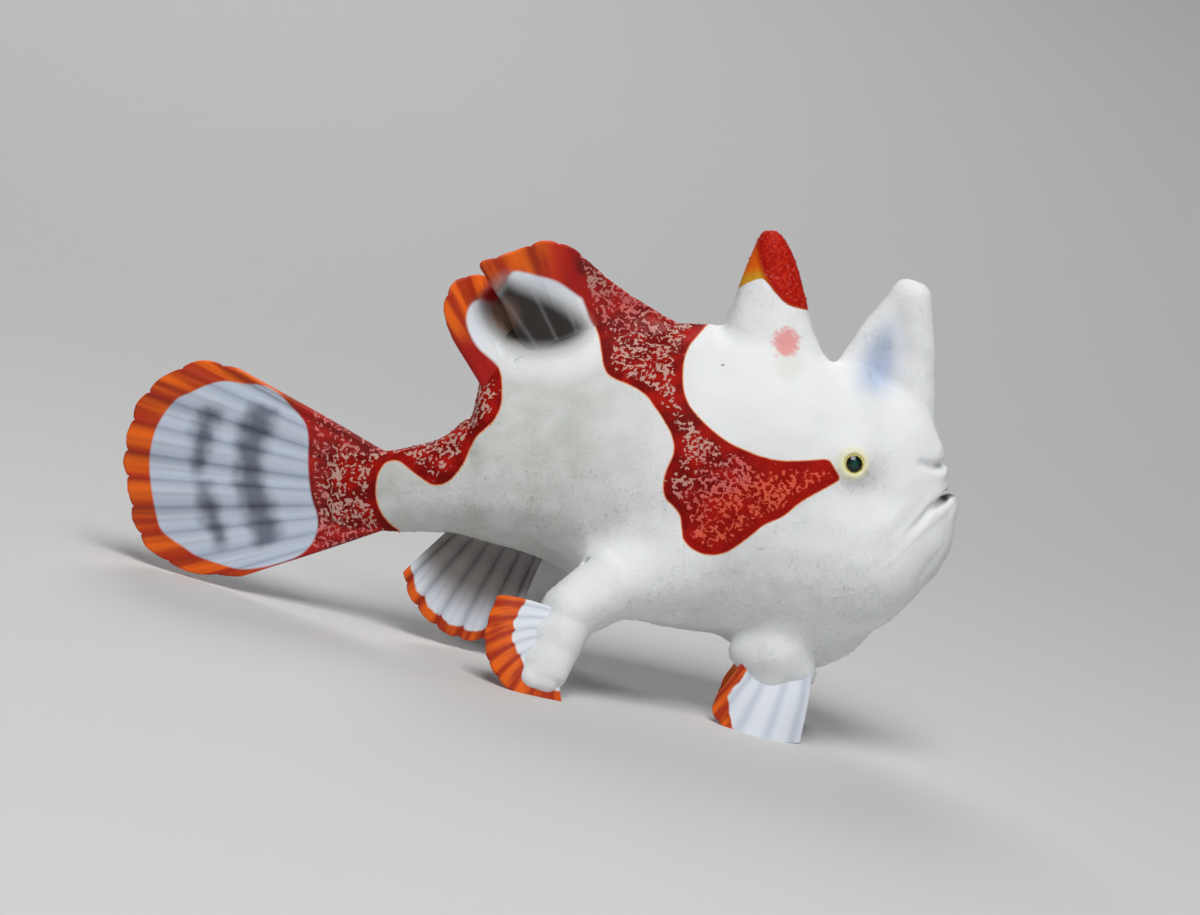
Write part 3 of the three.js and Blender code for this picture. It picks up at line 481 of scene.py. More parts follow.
def past_face(x, y, z):
    """How far a point lies in front of the face, whose profile bows back and droops to the sides."""
    level = z + FACE_DROP * y**2
    aside = np.clip(np.abs(y) / FACE_SIDE_Y, 0, 1) ** 2
    low, here, high = (front_of_face(level + d, aside) for d in (-FACE_PROBE, 0, FACE_PROBE))
    steep = np.hypot((high - low) / (2 * FACE_PROBE), 1) * FACE_STEEP
    return (x - here + FACE_BOW * y**2) / steep


def plain_body(x, bent_y, z):
    """Body with neither limbs, spines nor the finer features of the face."""
    at = (x, bent_y - sway(x), z)
    d = blend(trunk(*at), ridge(*at), RIDGE_BLEND)
    d = blend(d, throat(*at), THROAT["blend"])
    d = join_all(d, cheeks, CHEEK["blend"], at)
    d = join_all(d, brows, BROW["blend"], at)
    d = join_all(d, knobs, KNOB_BLEND, at)
    return hollow(d, -past_face(*at), FACE_BLEND)


def lip_line(rise, sunk=0.0):
    """Points along a lip, sunk under the skin, from the right corner of the mouth round to the left."""
    right = [[x, -trunk.flank(x, z + rise), z + rise] for x, z in reversed(MOUTH)]
    front = [MOUTH_FRONT, 0, MOUTH[0][1] + rise]
    rows = right + [front] + [[x, -y, z] for x, y, z in reversed(right)]
    return curve_through(settle(lambda *at: plain_body(*at) + sunk, rows), LIP_POINTS)


def bar_along(line, radius, corner):
    """A round bar along a line, thinning towards both ends to a share of its radius."""
    share = np.abs(np.linspace(-1, 1, len(line)))
    return local_limb([(*at, radius * (1 - (1 - corner) * s**2)) for at, s in zip(line, share)], BAR_MARGIN)


def lip(shape):
    return bar_along(lip_line(shape["rise"], shape["sunk"]), shape["radius"], shape["corner"])


upper_lip, lower_lip = lip(UPPER_LIP), lip(LOWER_LIP)
mouth_gap = bar_along(lip_line(0.0), MOUTH_GAP["radius"], MOUTH_GAP["corner"])
mouth_slit = side_balls(MOUTH_SLIT)[0]


def crease(side, shape):
    line = settle(plain_body, [mirrored(side, point) for point in shape["line"]])
    return bar_along(curve_through(line, CREASE_POINTS), shape["radius"], shape["corner"])


snout_creases = sides_of(lambda side: crease(side, SNOUT_CREASE))
chin_creases = sides_of(lambda side: crease(side, CHIN_CREASE))


def nostril(side):
    foot, way = (np.array(mirrored(side, NOSTRIL[key])) for key in ("at", "way"))
    tip = foot + NOSTRIL["length"] * unit(way)
    return local_limb([(*point, radius) for point, radius in zip((foot, tip), NOSTRIL["radii"])])


nostrils = sides_of(nostril)


def eye_axis(side):
    """The way an eye looks: straight out of the skin over it."""
    start = on_flank(side, EYE, -EYE_AXIS["height"])[None]
    value = plain_body(*start.T)
    slope = np.array([(plain_body(*(start + d).T) - value)[0] for d in np.eye(3) * EYE_AXIS["probe"]])
    return unit(slope)


def ring_round(out, turns):
    """Unit vectors square to a way, at angles round it."""
    u = unit(np.cross(out, [0, 0, 1]))
    v = np.cross(out, u)
    return np.cos(turns)[..., None] * u + np.sin(turns)[..., None] * v


def eye_opening(side):
    """The round window in the skin over an eye, and the fold round it."""
    centre = on_flank(side, EYE, EYE["depth"])
    out = eye_axis(side)
    ends = (centre, centre + EYE_WINDOW["length"] * out)
    window = local_limb([(*end, EYE_WINDOW["radius"]) for end in ends])
    ring = ring_round(out, np.linspace(0, 2 * math.pi, EYE_LID["points"]))
    ring = centre + EYE_LID["height"] * out + EYE_LID["ring"] * ring
    return window, local_limb([(*point, EYE_LID["thickness"]) for point in ring])


openings = sides_of(eye_opening)
HOLLOWS = [
    ([mouth_gap], MOUTH_GAP),
    ([mouth_slit], MOUTH_SLIT),
    (snout_creases, SNOUT_CREASE),
    (chin_creases, CHIN_CREASE),
    (eye_hollows, EYE_HOLLOW),
]


def second_spine(x, y, z):
    d = blend(second_column(x, y, z), second_web(x, y, z), SPINE_WEB_BLEND)
    return hollow_all(d, web_hollows, WEB_HOLLOW["blend"], (x, y, z))


slow_waves, quick_waves = waves(**SLOW_WAVES), waves(**QUICK_WAVES)


def flesh(x, y, z):
    """The whole skin: body, face, limbs and dorsal spines."""
    at, straight = (x, y, z), (x, y - sway(x), z)
    d = plain_body(*at)
    d = blend(d, second_spine(*at), SPINE_BLEND + SPINE_SIDE_BLEND * np.clip(np.abs(y), 0, 1))
    d = blend(d, third_spine(*at), SPINE_BLEND)
    d = join_all(d, [upper_lip, lower_lip], LIP_BLEND, at)
    for arm, leg, calf in zip(arms, legs, calves):
        d = blend(d, arm(*straight), ARM_BLEND)
        d = blend(d, blend(leg(*straight), calf(*straight), CALF["blend"]), LEG_BLEND)
    d = join_all(d, nostrils, NOSTRIL["blend"], at)
    for parts, shape in HOLLOWS:
        d = hollow_all(d, parts, shape["blend"], at)
    for window, lid in openings:
        d = hollow(blend(d, lid(*at), EYE_LID["blend"]), window(*at), EYE_WINDOW["blend"])
    d = hollow_all(d, pores, GILL_PORE["blend"], straight)
    above = np.clip((z - floor_z(x)) / WAVES_FADE, 0, 1)
    return d + above * (slow_waves(*at) + quick_waves(*at)) + COAT_DEPTH


# Skin mesh


def band_values(field, low, shape, cell):
    """Field values on a fine grid, worked out only in the coarse blocks that the surface may cross."""
    n = COARSE_STEPS
    blocks = [-(-s // n) for s in shape]
    centres = [low[i] + (np.arange(blocks[i]) * n + n / 2) * cell for i in range(3)]
    x, y, z = np.meshgrid(*centres, indexing="ij")
    coarse = field(x, y, z)
    near = np.abs(coarse) < BLOCK_MARGIN * n * cell
    inside, wanted = (block.repeat(n, 0).repeat(n, 1).repeat(n, 2) for block in (coarse < 0, near))
    values = np.where(inside, -1.0, 1.0).astype(np.float32)
    at = np.argwhere(wanted)
    for part in np.array_split(at, max(1, len(at) // BATCH)):
        points = np.array(low) + part * cell
        values[tuple(part.T)] = field(*points.T)
    return values


def surface(field, low, high, cell):
    """One closed mesh where the field is zero.

    Each cell that the surface crosses gets a vertex, and each edge that it crosses a square.
    """
    shape = [int(math.ceil((b - a) / cell)) + 1 for a, b in zip(low, high)]
    values = band_values(field, low, shape, cell)
    inside = values < 0
    spots = np.array([[c & 1, (c >> 1) & 1, (c >> 2) & 1] for c in range(8)])
    corner = [tuple(slice(a, n - 1 + a) for a, n in zip(spot, inside.shape)) for spot in spots]
    count = sum(inside[part].astype(np.int8) for part in corner)
    cells = np.argwhere((count > 0) & (count < 8))
    number = np.full(count.shape, -1, np.int32)
    number[tuple(cells.T)] = np.arange(len(cells))
    here = np.stack([values[part][tuple(cells.T)] for part in corner], 1)
    total, hits = np.zeros((len(cells), 3)), np.zeros(len(cells))
    for a, b in [(a, a | bit) for a in range(8) for bit in (1, 2, 4) if not a & bit]:
        crossed = (here[:, a] < 0) != (here[:, b] < 0)
        share = np.where(crossed, here[:, a] / np.where(crossed, here[:, a] - here[:, b], 1), 0)
        total += crossed[:, None] * (spots[a] + share[:, None] * (spots[b] - spots[a]))
        hits += crossed
    points = np.array(low) + (cells + total / hits[:, None]) * cell
    faces = []
    for axis in range(3):
        u, v = (axis + 1) % 3, (axis + 2) % 3
        step, su, sv = np.eye(3, dtype=int)[[axis, u, v]]
        size = np.array(inside.shape)
        ahead = tuple(slice(s, n) for s, n in zip(step, size))
        behind = tuple(slice(0, n - s) for s, n in zip(step, size))
        change = inside[behind] != inside[ahead]
        base = np.argwhere(change)
        base = base[(base[:, u] > 0) & (base[:, v] > 0)]
        ring = np.stack([number[tuple((base - s).T)] for s in (su + sv, sv, 0 * su, su)], 1)
        flip = ~inside[tuple(base.T)]
        ring[flip] = ring[flip, ::-1]
        faces.append(ring[(ring >= 0).all(1)])
    return points, np.vstack(faces)


def settled(field, points, cell, rounds=2, least=0.3, reach=0.6):
    """The points of a mesh moved on to the field's surface, by no more than a share of a cell each time."""
    for _ in range(rounds):
        value, slope = slopes_at(field, points)
        steep = np.maximum(np.linalg.norm(slope, axis=1), least)
        move = np.clip(value / steep, -reach * cell, reach * cell) / steep
        points = points - move[:, None] * slope
    return points


# Pieces


def place(points):
    """From the upright fish's millimetres to the frame's metres."""
    return (turned(points) + SHIFT) * MM


def turned(ways):
    """Directions of the upright fish, head up as it stands in the frame."""
    x, y, z = np.array(ways, float).T
    c, s = math.cos(PITCH), math.sin(PITCH)
    return np.stack([x * c - z * s, y, x * s + z * c], -1)


def shift_to_frame():
    """Where the upright fish's origin lies, from the middle of the solids' eyes."""
    corners = np.array([corner for name in ("eye_left", "eye_right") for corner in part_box(name)]) / MM
    middle = (corners.min(0) + corners.max(0)) / 2
    return middle - turned([(EYE["x"], 0, EYE["z"])])[0]


SHIFT = shift_to_frame()


def mesh_piece(name, points, faces, material, values=None, uv=None, normals=None):
    """A mesh from arrays, all faces of one size, with numbers kept at its points for the material."""
    faces = np.asarray(faces, np.int32)
    mesh = bpy.data.meshes.new(name)
    mesh.vertices.add(len(points))
    mesh.vertices.foreach_set("co", place(points).astype(np.float32).ravel())
    mesh.loops.add(faces.size)
    mesh.loops.foreach_set("vertex_index", faces.ravel())
    mesh.polygons.add(len(faces))
    mesh.polygons.foreach_set("loop_start", np.arange(len(faces), dtype=np.int32) * faces.shape[1])
    mesh.polygons.foreach_set("use_smooth", np.ones(len(faces), bool))
    if uv is not None:
        mesh.uv_layers.new(name="OFBake").data.foreach_set("uv", uv[faces.ravel()].astype(np.float32).ravel())
    mesh.update()
    mesh.validate()
    if normals is not None:
        mesh.normals_split_custom_set_from_vertices(turned(normals).tolist())
    for key, numbers in (values or {}).items():
        layer = mesh.attributes.new(key, "FLOAT", "POINT")
        layer.data.foreach_set("value", np.asarray(numbers, np.float32))
    mesh.materials.append(material)
    return linked(name, mesh)


def linked(name, data):
    thing = bpy.data.objects.new(name, data)
    bpy.context.scene.collection.objects.link(thing)
    return thing


def finished(piece, slot, *replaced):
    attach(piece, BODY)
    if replaced:
        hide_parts(*replaced)


# Markings, laid on by sight lines through points measured in the photograph

LENS = 100
SENSOR = 36
PHOTO = {"width": 1200, "height": 915}
PX_PER_MM = 20.0
VIEW_WIDTH = PHOTO["width"] / PX_PER_MM
SIGHT = {"target": (0.0, 0.0, 14.125), "distance": VIEW_WIDTH / SENSOR * LENS, "elevation": math.radians(6)}


def sight_axes():
    """Ways to the right, up and ahead in the photograph."""
    c, s = math.cos(SIGHT["elevation"]), math.sin(SIGHT["elevation"])
    return np.array([1.0, 0, 0]), np.array([0, s, c]), np.array([0, c, -s])


def photo_px(points):
    """Pixels where points of the right side show; those of the left side are mirrored first."""
    points = np.array(points, float)
    points[:, 1] = -np.abs(points[:, 1] - sway(points[:, 0])) + sway(points[:, 0])
    return px_of(points)


def px_of(points):
    """Pixels of the photograph where points of the upright fish show."""
    right, up, ahead = sight_axes()
    from_target = np.array(points, float) - SIGHT["target"]
    depth = SIGHT["distance"] + from_target @ ahead
    scale = PX_PER_MM * SIGHT["distance"] / depth
    u = PHOTO["width"] / 2 + scale * (from_target @ right)
    v = PHOTO["height"] / 2 - scale * (from_target @ up)
    return np.stack([u, v], 1)


def rounded(outline, rounds=2):
    """A closed outline with its corners cut to a smooth line."""
    p = np.array(outline, float)
    for _ in range(rounds):
        q = np.roll(p, -1, 0)
        p = np.stack([0.75 * p + 0.25 * q, 0.25 * p + 0.75 * q], 1).reshape(-1, 2)
    return p


def inside_by(px, outline):
    """How far inside a closed outline each pixel lies, in millimetres, negative outside."""
    p = rounded(outline)
    nearest = np.full(len(px), np.inf)
    winding = np.zeros(len(px), bool)
    for a, b in zip(p, np.roll(p, -1, 0)):
        edge = b - a
        rel = px - a
        t = np.clip(rel @ edge / max(edge @ edge, TINY), 0, 1)
        nearest = np.minimum(nearest, ((rel - t[:, None] * edge) ** 2).sum(1))
        if a[1] != b[1]:
            spans = (px[:, 1] > a[1]) != (px[:, 1] > b[1])
            winding ^= spans & (rel[:, 0] < edge[0] * rel[:, 1] / edge[1])
    return np.where(winding, 1, -1) * np.sqrt(nearest) / PX_PER_MM


SHOULDER_SADDLE = [
    (720, 312), (703, 330), (690, 345), (684, 360), (683, 380), (686, 400), (697, 415), (712, 430),
    (730, 443), (750, 452), (770, 459), (790, 461), (810, 460), (829, 458), (833, 465), (841, 478),
    (838, 482), (825, 489), (812, 496), (800, 503), (790, 512), (780, 519), (766, 524), (755, 533),
    (745, 541), (735, 548), (725, 554), (712, 556), (700, 554), (688, 547), (682, 538), (681, 528),
    (680, 515), (672, 506), (664, 498), (662, 488), (664, 475), (668, 465), (674, 452), (673, 440),
    (668, 428), (660, 415), (652, 404), (648, 398), (640, 391), (625, 383), (610, 378), (603, 368),
    (600, 345), (597, 330), (590, 320), (587, 310), (582, 297), (577, 285), (572, 262), (566, 240),
    (585, 235), (615, 262), (650, 285), (690, 300),
]
REAR_SADDLE = [
    (440, 325), (462, 340), (478, 348), (488, 352), (497, 362), (502, 375), (503, 390), (502, 405),
    (498, 415), (492, 424), (482, 432), (476, 438), (470, 450), (465, 462), (460, 470), (452, 480),
    (444, 485), (436, 486), (428, 484), (420, 478), (412, 472), (405, 466), (400, 462), (394, 461),
    (388, 462), (383, 466), (378, 475), (376, 490), (378, 505), (384, 516), (392, 525), (402, 531),
    (404, 560), (250, 640), (60, 640), (60, 320), (380, 320),
]
HORN_CAP = [
    (830, 322), (810, 310), (795, 308), (783, 302), (773, 290), (765, 280), (763, 278), (750, 281),
    (732, 292), (715, 300), (700, 210), (770, 195), (850, 210), (850, 322),
]
HORN_SPECKLED = [
    (830, 322), (810, 310), (795, 308), (783, 302), (773, 290), (766, 280), (761, 265), (757, 248),
    (758, 225), (770, 195), (850, 210), (850, 322),
]
FLECK_SIZE = 0.2
REDDER = {"from": (700, 480), "way": (0.72, 0.69)}
SPOT = (787, 342)
SPOT_SHADE = (789, 366)
DOTS = [(723, 365), (535, 277)]
# Painted bluish shade over the hollow of the second spine's web: a band of points with half-widths
HOLLOW_SHADE_BAND = [(876, 374, 20), (881, 354, 17), (889, 330, 8)]

# The spines' own markings start at this height. Below it they count as this far off
SPINES_FROM_Z = 16.2
WELL_OUTSIDE = -3
# The flank turns a mottled grey from this x towards the tail, and less so near the arms: partly its own tone,
# partly painted shade
REAR_FROM_X = 4.0
REAR_FADE_AT_ARMS = 3


def skin_marks(points):
    """Numbers at the skin's points that its markings are painted by, in millimetres."""
    px = photo_px(points)
    marks = {
        "saddle": np.maximum(inside_by(px, SHOULDER_SADDLE), inside_by(px, REAR_SADDLE)),
        "cap": inside_by(px, HORN_CAP),
        "speckled": inside_by(px, HORN_SPECKLED),
        "hollow_shade": inside_band(px, HOLLOW_SHADE_BAND),
        "grey": inside_by(px, DORSAL_SHADED_WEB),
        "rear": np.minimum(REAR_FROM_X - points[:, 0], REAR_FADE_AT_ARMS * far_from_arms(points)),
        "low": redder_low(px),
        "spot": far_from(px, SPOT),
        "spot_shade": far_from(px, SPOT_SHADE),
        "eye_ring": far_from_eye(points),
        "dots": np.minimum.reduce([far_from(px, dot) for dot in DOTS]),
        "mouth": far_from_mouth(points),
    }
    for key in ("cap", "speckled", "hollow_shade", "grey"):
        marks[key] = np.where(points[:, 2] > SPINES_FROM_Z, marks[key], WELL_OUTSIDE)
    return marks


def far_from_mouth(points):
    return np.minimum(mouth_gap(*points.T), mouth_slit(*points.T))


def far_from_arms(points):
    x, y, z = points.T
    return np.minimum.reduce([arm(x, y - sway(x), z) for arm in arms])


def redder_low(px):
    """Grows towards the lower front end of the shoulder saddle, where its flecks turn red."""
    along = (px - REDDER["from"]) @ np.array(REDDER["way"])
    return along / PX_PER_MM


def far_from(px, spot):
    return np.hypot(px[:, 0] - spot[0], px[:, 1] - spot[1]) / PX_PER_MM


def far_from_eye(points):
    fronts = sides_of(lambda side: on_flank(side, EYE, EYE["depth"]) + EYE_FRONT * eye_axis(side))
    return np.minimum.reduce([np.linalg.norm(points - front, axis=1) for front in fronts])


# Materials


class Paint:
    """A material and its nodes, put together by short calls.

    A value is a number, a colour, a node's output, or the name of a number that the mesh keeps at its points.
    """

    def __init__(self, name, **sockets):
        self.material = bpy.data.materials.new(name)
        self.material.use_nodes = True
        self.nodes = self.material.node_tree.nodes
        self.links = self.material.node_tree.links
        self.shader = self.nodes["Principled BSDF"]
        for key, value in sockets.items():
            self.shader.inputs[key.replace("_", " ")].default_value = value

    def put(self, kind, inputs=(), **settings):
        node = self.nodes.new(kind)
        for key, value in settings.items():
            setattr(node, key, value)
        for key, value in dict(inputs).items():
            self.feed(node.inputs[key], value)
        return node

    def feed(self, socket, value):
        if isinstance(value, str):
            value = self.put("ShaderNodeAttribute", attribute_name=value).outputs["Fac"]
        if isinstance(value, bpy.types.NodeSocket):
            self.links.new(value, socket)
        else:
            socket.default_value = value

    def math(self, operation, a, b=0.0):
        return self.put("ShaderNodeMath", {0: a, 1: b}, operation=operation).outputs[0]

    def plus(self, a, b):
        return self.math("ADD", a, b)

    def minus(self, a, b):
        return self.math("SUBTRACT", a, b)

    def times(self, a, b):
        return self.math("MULTIPLY", a, b)

    def step(self, value, low, high, to_low=0.0, to_high=1.0):
        """Goes smoothly from one number to another as a value passes from low to high."""
        inputs = {"Value": value, "From Min": low, "From Max": high, "To Min": to_low, "To Max": to_high}
        return self.put("ShaderNodeMapRange", inputs, interpolation_type="SMOOTHSTEP").outputs[0]

    def mix(self, share, a, b):
        node = self.put("ShaderNodeMix", data_type="RGBA")
        first, second = (socket for socket in node.inputs if socket.type == "RGBA")
        self.feed(node.inputs["Factor"], share)
        self.feed(first, a)
        self.feed(second, b)
        return next(socket for socket in node.outputs if socket.type == "RGBA")

    def layers(self, color, *tints):
        """A colour under others: for each the value that brings it in, from where to where, and its share."""
        for value, low, high, share, tint in tints:
            color = self.mix(self.step(value, low, high, 0.0, share), color, tint)
        return color

    def noise(self, size, detail=2.0, roughness=0.5, distortion=0.0):
        """Noise from 0 to 1 with bumps of a size in millimetres."""
        inputs = {
            "Vector": self.put("ShaderNodeTexCoord").outputs["Object"],
            "Scale": 1 / (size * MM),
            "Detail": detail,
            "Roughness": roughness,
            "Distortion": distortion,
        }
        return self.put("ShaderNodeTexNoise", inputs).outputs[0]

    def color(self, value):
        self.feed(self.shader.inputs["Base Color"], value)

    def bump(self, height, size, strength):
        node = self.put("ShaderNodeBump", {"Strength": strength, "Distance": size * MM, "Height": height})
        self.feed(self.shader.inputs["Normal"], node.outputs[0])


def rgb(r, g, b):
    return (r, g, b, 1.0)


SKIN_WHITE = rgb(0.85, 0.87, 0.89)
SKIN_SHADE = rgb(0.74, 0.77, 0.78)
# Mottled grey of the rear flank: partly its own tone, partly painted shade
REAR_GREY_AND_SHADE = rgb(0.51, 0.535, 0.50)
DEEP_RED = rgb(0.19, 0.002, 0.001)
BRIGHT_RED = rgb(0.42, 0.006, 0.002)
SCARLET = rgb(0.62, 0.028, 0.006)
DARK_RED = rgb(0.30, 0.006, 0.003)
FLECK_PALE = rgb(0.58, 0.34, 0.29)
FLECK_PINK = rgb(0.64, 0.15, 0.15)
FLECK_ORANGE = rgb(0.76, 0.10, 0.035)
PALE_ORANGE = rgb(0.86, 0.34, 0.16)
ORANGE = rgb(0.86, 0.14, 0.004)
BURNT_ORANGE = rgb(0.42, 0.025, 0.003)
YELLOW = rgb(0.66, 0.33, 0.02)
SPOT_PINK = rgb(0.80, 0.22, 0.20)
GREY_GREEN = rgb(0.66, 0.70, 0.60)
FIN_WHITE = rgb(0.80, 0.85, 0.93)
# Bluish painted shade in the creases of white fins
FIN_BLUE = rgb(0.33, 0.40, 0.55)
# White of the tail, greyer and bluer than the other fins': partly its own bluish tone, partly painted shade
TAIL_PALE_SHADED = rgb(0.58, 0.65, 0.77)
# Dark painted shade in the creases of the tail's bands
FIN_GREY = rgb(0.035, 0.045, 0.07)
# Blue of the painted shade in the spine's hollow, also laid at random over the lure
BLUE_SHADE_AND_MOTTLE = rgb(0.44, 0.54, 0.74)
# Colours of the dorsal web's painted shade: a warmer glow, the dark shade and a grey fringe
WEB_BROWN = rgb(0.22, 0.13, 0.09)
WEB_DARK = rgb(0.028, 0.024, 0.022)
WEB_PALE = rgb(0.33, 0.34, 0.34)
LID_YELLOW = rgb(0.86, 0.83, 0.46)
MOUTH_DARK = rgb(0.015, 0.012, 0.012)
SPECK_DARK = rgb(0.05, 0.05, 0.06)
BAND_GREY = rgb(0.11, 0.13, 0.18)
WEB_SHADE = rgb(0.13, 0.10, 0.08)
IRIS_DARK = rgb(0.52, 0.40, 0.08)
IRIS_YELLOW = rgb(0.82, 0.76, 0.25)
PUPIL = rgb(0.002, 0.006, 0.005)
# Painted green glint in the middle of the pupil
PUPIL_GLINT_GREEN = rgb(0.01, 0.07, 0.05)


def skin_paint():
    p = Paint("frogfish_skin", Subsurface_Weight=0.15, Subsurface_Scale=0.0004, Specular_IOR_Level=0.12)
    p.shader.inputs["Subsurface Radius"].default_value = (1.0, 0.6, 0.45)
    edge = p.plus("saddle", p.times(p.noise(0.5), 0.06))
    cap_edge = p.plus("cap", p.times(p.noise(0.4), 0.1))
    p.color(p.layers(
        skin_white(p),
        (edge, 0.0, 0.05, 1.0, PALE_ORANGE),
        (edge, 0.05, 0.11, 1.0, speckled_red(p, "saddle", "low")),
        (cap_edge, 0.0, 0.08, 1.0, horn_cap(p, cap_edge)),
        ("mouth", *MOUTH_SHADE, 0.95, MOUTH_DARK),
    ))
    grain = p.noise(0.16, 3.0)
    p.feed(p.shader.inputs["Roughness"], p.step(grain, 0.3, 0.7, 0.66, 0.52))
    p.bump(grain, 0.03, 0.6)
    return p.material


def skin_ground(p):
    tint = p.times(p.step(p.noise(2.6, 3.0), 0.35, 0.7), 0.35)
    return p.mix(tint, SKIN_WHITE, SKIN_SHADE)


def skin_white(p):
    """The white ground with its faint shades at random, a mottled grey towards the tail that is partly
    painted shade, painted bluish shade in the hollow of the second spine's web, the yellow eye ring, the pink
    spot, and painted dark shade where the dorsal fin's web meets the skin.
    """
    # A mottled grey growing towards the tail and away from the arms: partly the flank's own tone, partly
    # painted shade
    cloud = p.step(p.noise(1.8), 0.3, 0.7, 0.45, 0.8)
    mottled = p.times(p.times(p.step("rear", -1.0, 6.0), cloud), p.step("grey", -0.9, -2.2))
    ragged = p.plus("spot", p.times(p.noise(0.28, 3.0, 0.7), -1.1))
    return p.layers(
        p.mix(mottled, skin_ground(p), REAR_GREY_AND_SHADE),
        # Painted bluish shade in the hollow of the second spine's web
        ("hollow_shade", -0.7, 1.0, 0.85, BLUE_SHADE_AND_MOTTLE),
        ("eye_ring", 1.15, 0.4, 0.9, LID_YELLOW),
        ("spot_shade", 1.0, 0.4, 0.35, GREY_GREEN),
        (ragged, 0.3, -0.1, 0.75, SPOT_PINK),
        ("dots", 0.09, 0.05, 1.0, SPECK_DARK),
        # Painted shade of the dorsal fin's web, carried on to the skin under it
        ("grey", -0.75, 0.1, 0.6, WEB_PALE),
        ("grey", -0.2, 0.45, 1.0, painted_web_shade(p)),
    )


def horn_cap(p, edge):
    """Yellow at the rear of the edge, then orange, with red flecked in front and at the tip."""
    yellow = p.mix(p.step(edge, 0.15, 0.8), YELLOW, ORANGE)
    fine = p.times(p.step(p.noise(0.16), 0.48, 0.58), p.step("speckled", 0.1, 0.4))
    red = p.mix(p.times(fine, 0.75), BRIGHT_RED, SCARLET)
    pale = p.step(p.noise(0.18, 2.0, 0.6), 0.62, 0.68)
    return p.mix(p.step("speckled", -0.3, 0.15), yellow, p.mix(p.times(pale, 0.5), red, FLECK_PINK))


def painted_web_shade(p):
    """Painted shade of the fin's curled, translucent web, dark as in shadow, with finer light and shade at
    random.
    """
    return p.mix(p.step(p.noise(1.3), 0.42, 0.68), WEB_DARK, WEB_BROWN)


def speckled_red(p, depth, low, crowding=0.0):
    """Plain dark red along the edge, and pale grains that join into a net further in, redder low down."""
    cracks = p.math("ABSOLUTE", p.minus(p.noise(0.42, 1.0, 0.5, 0.8), 0.5))
    net = p.minus(p.noise(FLECK_SIZE, 1.0, 0.5, 0.3), p.times(cracks, 2.0))
    patchy = p.step(p.noise(1.6), 0.35, 0.62, -0.03, 0.045)
    level = p.plus(p.step(depth, 0.28, 0.6, -0.3, crowding), p.plus(net, patchy))
    spread = p.plus(low, p.times(p.noise(1.5), 4.0))
    pale = p.layers(FLECK_PALE, (spread, 0.6, 2.6, 1.0, FLECK_PINK), (spread, 2.2, 4.6, 0.8, FLECK_ORANGE))
    red = p.layers(DEEP_RED, (p.noise(1.2), 0.4, 0.65, 1.0, BRIGHT_RED), (spread, 2.0, 5.0, 0.6, BRIGHT_RED))
    return p.mix(p.step(level, 0.395, 0.45), red, pale)


# Fins


def fan(root, margin, count, bow):
    """Rays spread evenly between a root line and a margin line."""
    return {
        "root": curve_through(root, count),
        "tip": curve_through(margin, count),
        "bow": np.tile(np.array(bow, float), (count, 1)),
    }


# Of every fin sheet: how its steps crowd towards the margin, where along a ray it forks, over what length and
# how wide, the height between ray and crease, where along a ray the pleats are full, how the root thins out,
# how wide the pale line on a ray is, and the share of the rounding that its edge keeps
RAY_CROWDING = 1.4
FORK_FROM = 0.45
FORK_LENGTH = 0.3
FORK_WIDTH = 0.09
ARCH_MIDDLE = 0.6
PLEATS_FULL_AT = 0.25
ROOT_FADE = 1.5
LINE_WIDTH = 0.08
EDGE_LEAST = 0.04


def fin_sheet(rays, shape):
    """A closed thin sheet over rays, each a thick arch between creases that forks towards the margin."""
    between, steps = shape["between"], shape["steps"]
    count = len(rays["root"])
    columns = (count - 1) * between + 1
    share = np.linspace(0, count - 1, columns)
    off_ray = np.abs(share - np.round(share))
    root, tip, bow = (curve_through(rays[key], columns) for key in ("root", "tip", "bow"))
    s = 1 - (1 - np.linspace(0, 1, steps + 1)) ** RAY_CROWDING
    lobe = np.sqrt(np.cos(math.pi * off_ray))[:, None]
    t = s[None] * (1 - shape["notch"] * (1 - lobe))
    fork = np.clip((t - FORK_FROM) / FORK_LENGTH, 0, 1) * np.exp(-((off_ray[:, None] / FORK_WIDTH) ** 2))
    arch = lobe * (1 - shape["fork"] * fork)
    line = bent_rays(root, tip, bow, t)
    normal = unit(np.cross(np.gradient(line, axis=0), np.gradient(line, axis=1)))
    edge = summed(np.linalg.norm(np.diff(line, axis=1), axis=2)[:, ::-1].T)[::-1].T
    line += (shape["pleat"] * (arch - ARCH_MIDDLE) * np.clip(t / PLEATS_FULL_AT, 0, 1))[:, :, None] * normal
    fade = np.clip(1 - t / shape["root_share"], 0, 1) ** ROOT_FADE
    ray = shape["ray"] + (shape["ray_tip"] - shape["ray"]) * t
    web = shape["web"] + (shape["web_tip"] - shape["web"]) * t
    thick = web + (ray - web) * arch
    thick += (shape["root"] - thick) * fade
    widths = np.linalg.norm(np.diff(line, axis=0), axis=2)
    from_first = summed(widths)
    beside = np.minimum(from_first, summed(widths[::-1])[::-1])
    for far in (edge, beside):
        thick *= np.sqrt(1 - (1 - np.clip(far / shape["rounding"], EDGE_LEAST, 1)) ** 2)
    half = 0.5 * thick[:, :, None] * normal
    points = np.concatenate([(line + half).reshape(-1, 3), (line - half).reshape(-1, 3)])
    values = {
        "edge": edge,
        "ray": np.broadcast_to(np.cos(math.pi * off_ray[:, None]), t.shape),
        "line": np.broadcast_to(np.exp(-((off_ray[:, None] / LINE_WIDTH) ** 2)), t.shape),
        "along": t,
        "across": np.broadcast_to(share[:, None], t.shape),
        "beside": from_first,
    }
    values = {key: np.tile(grid.ravel(), 2) for key, grid in values.items()}
    return points, sheet_faces(columns, steps + 1), values


def summed(lengths):
    """Running sums down the rows, from a first row of noughts."""
    return np.vstack([0 * lengths[:1], np.cumsum(lengths, 0)])


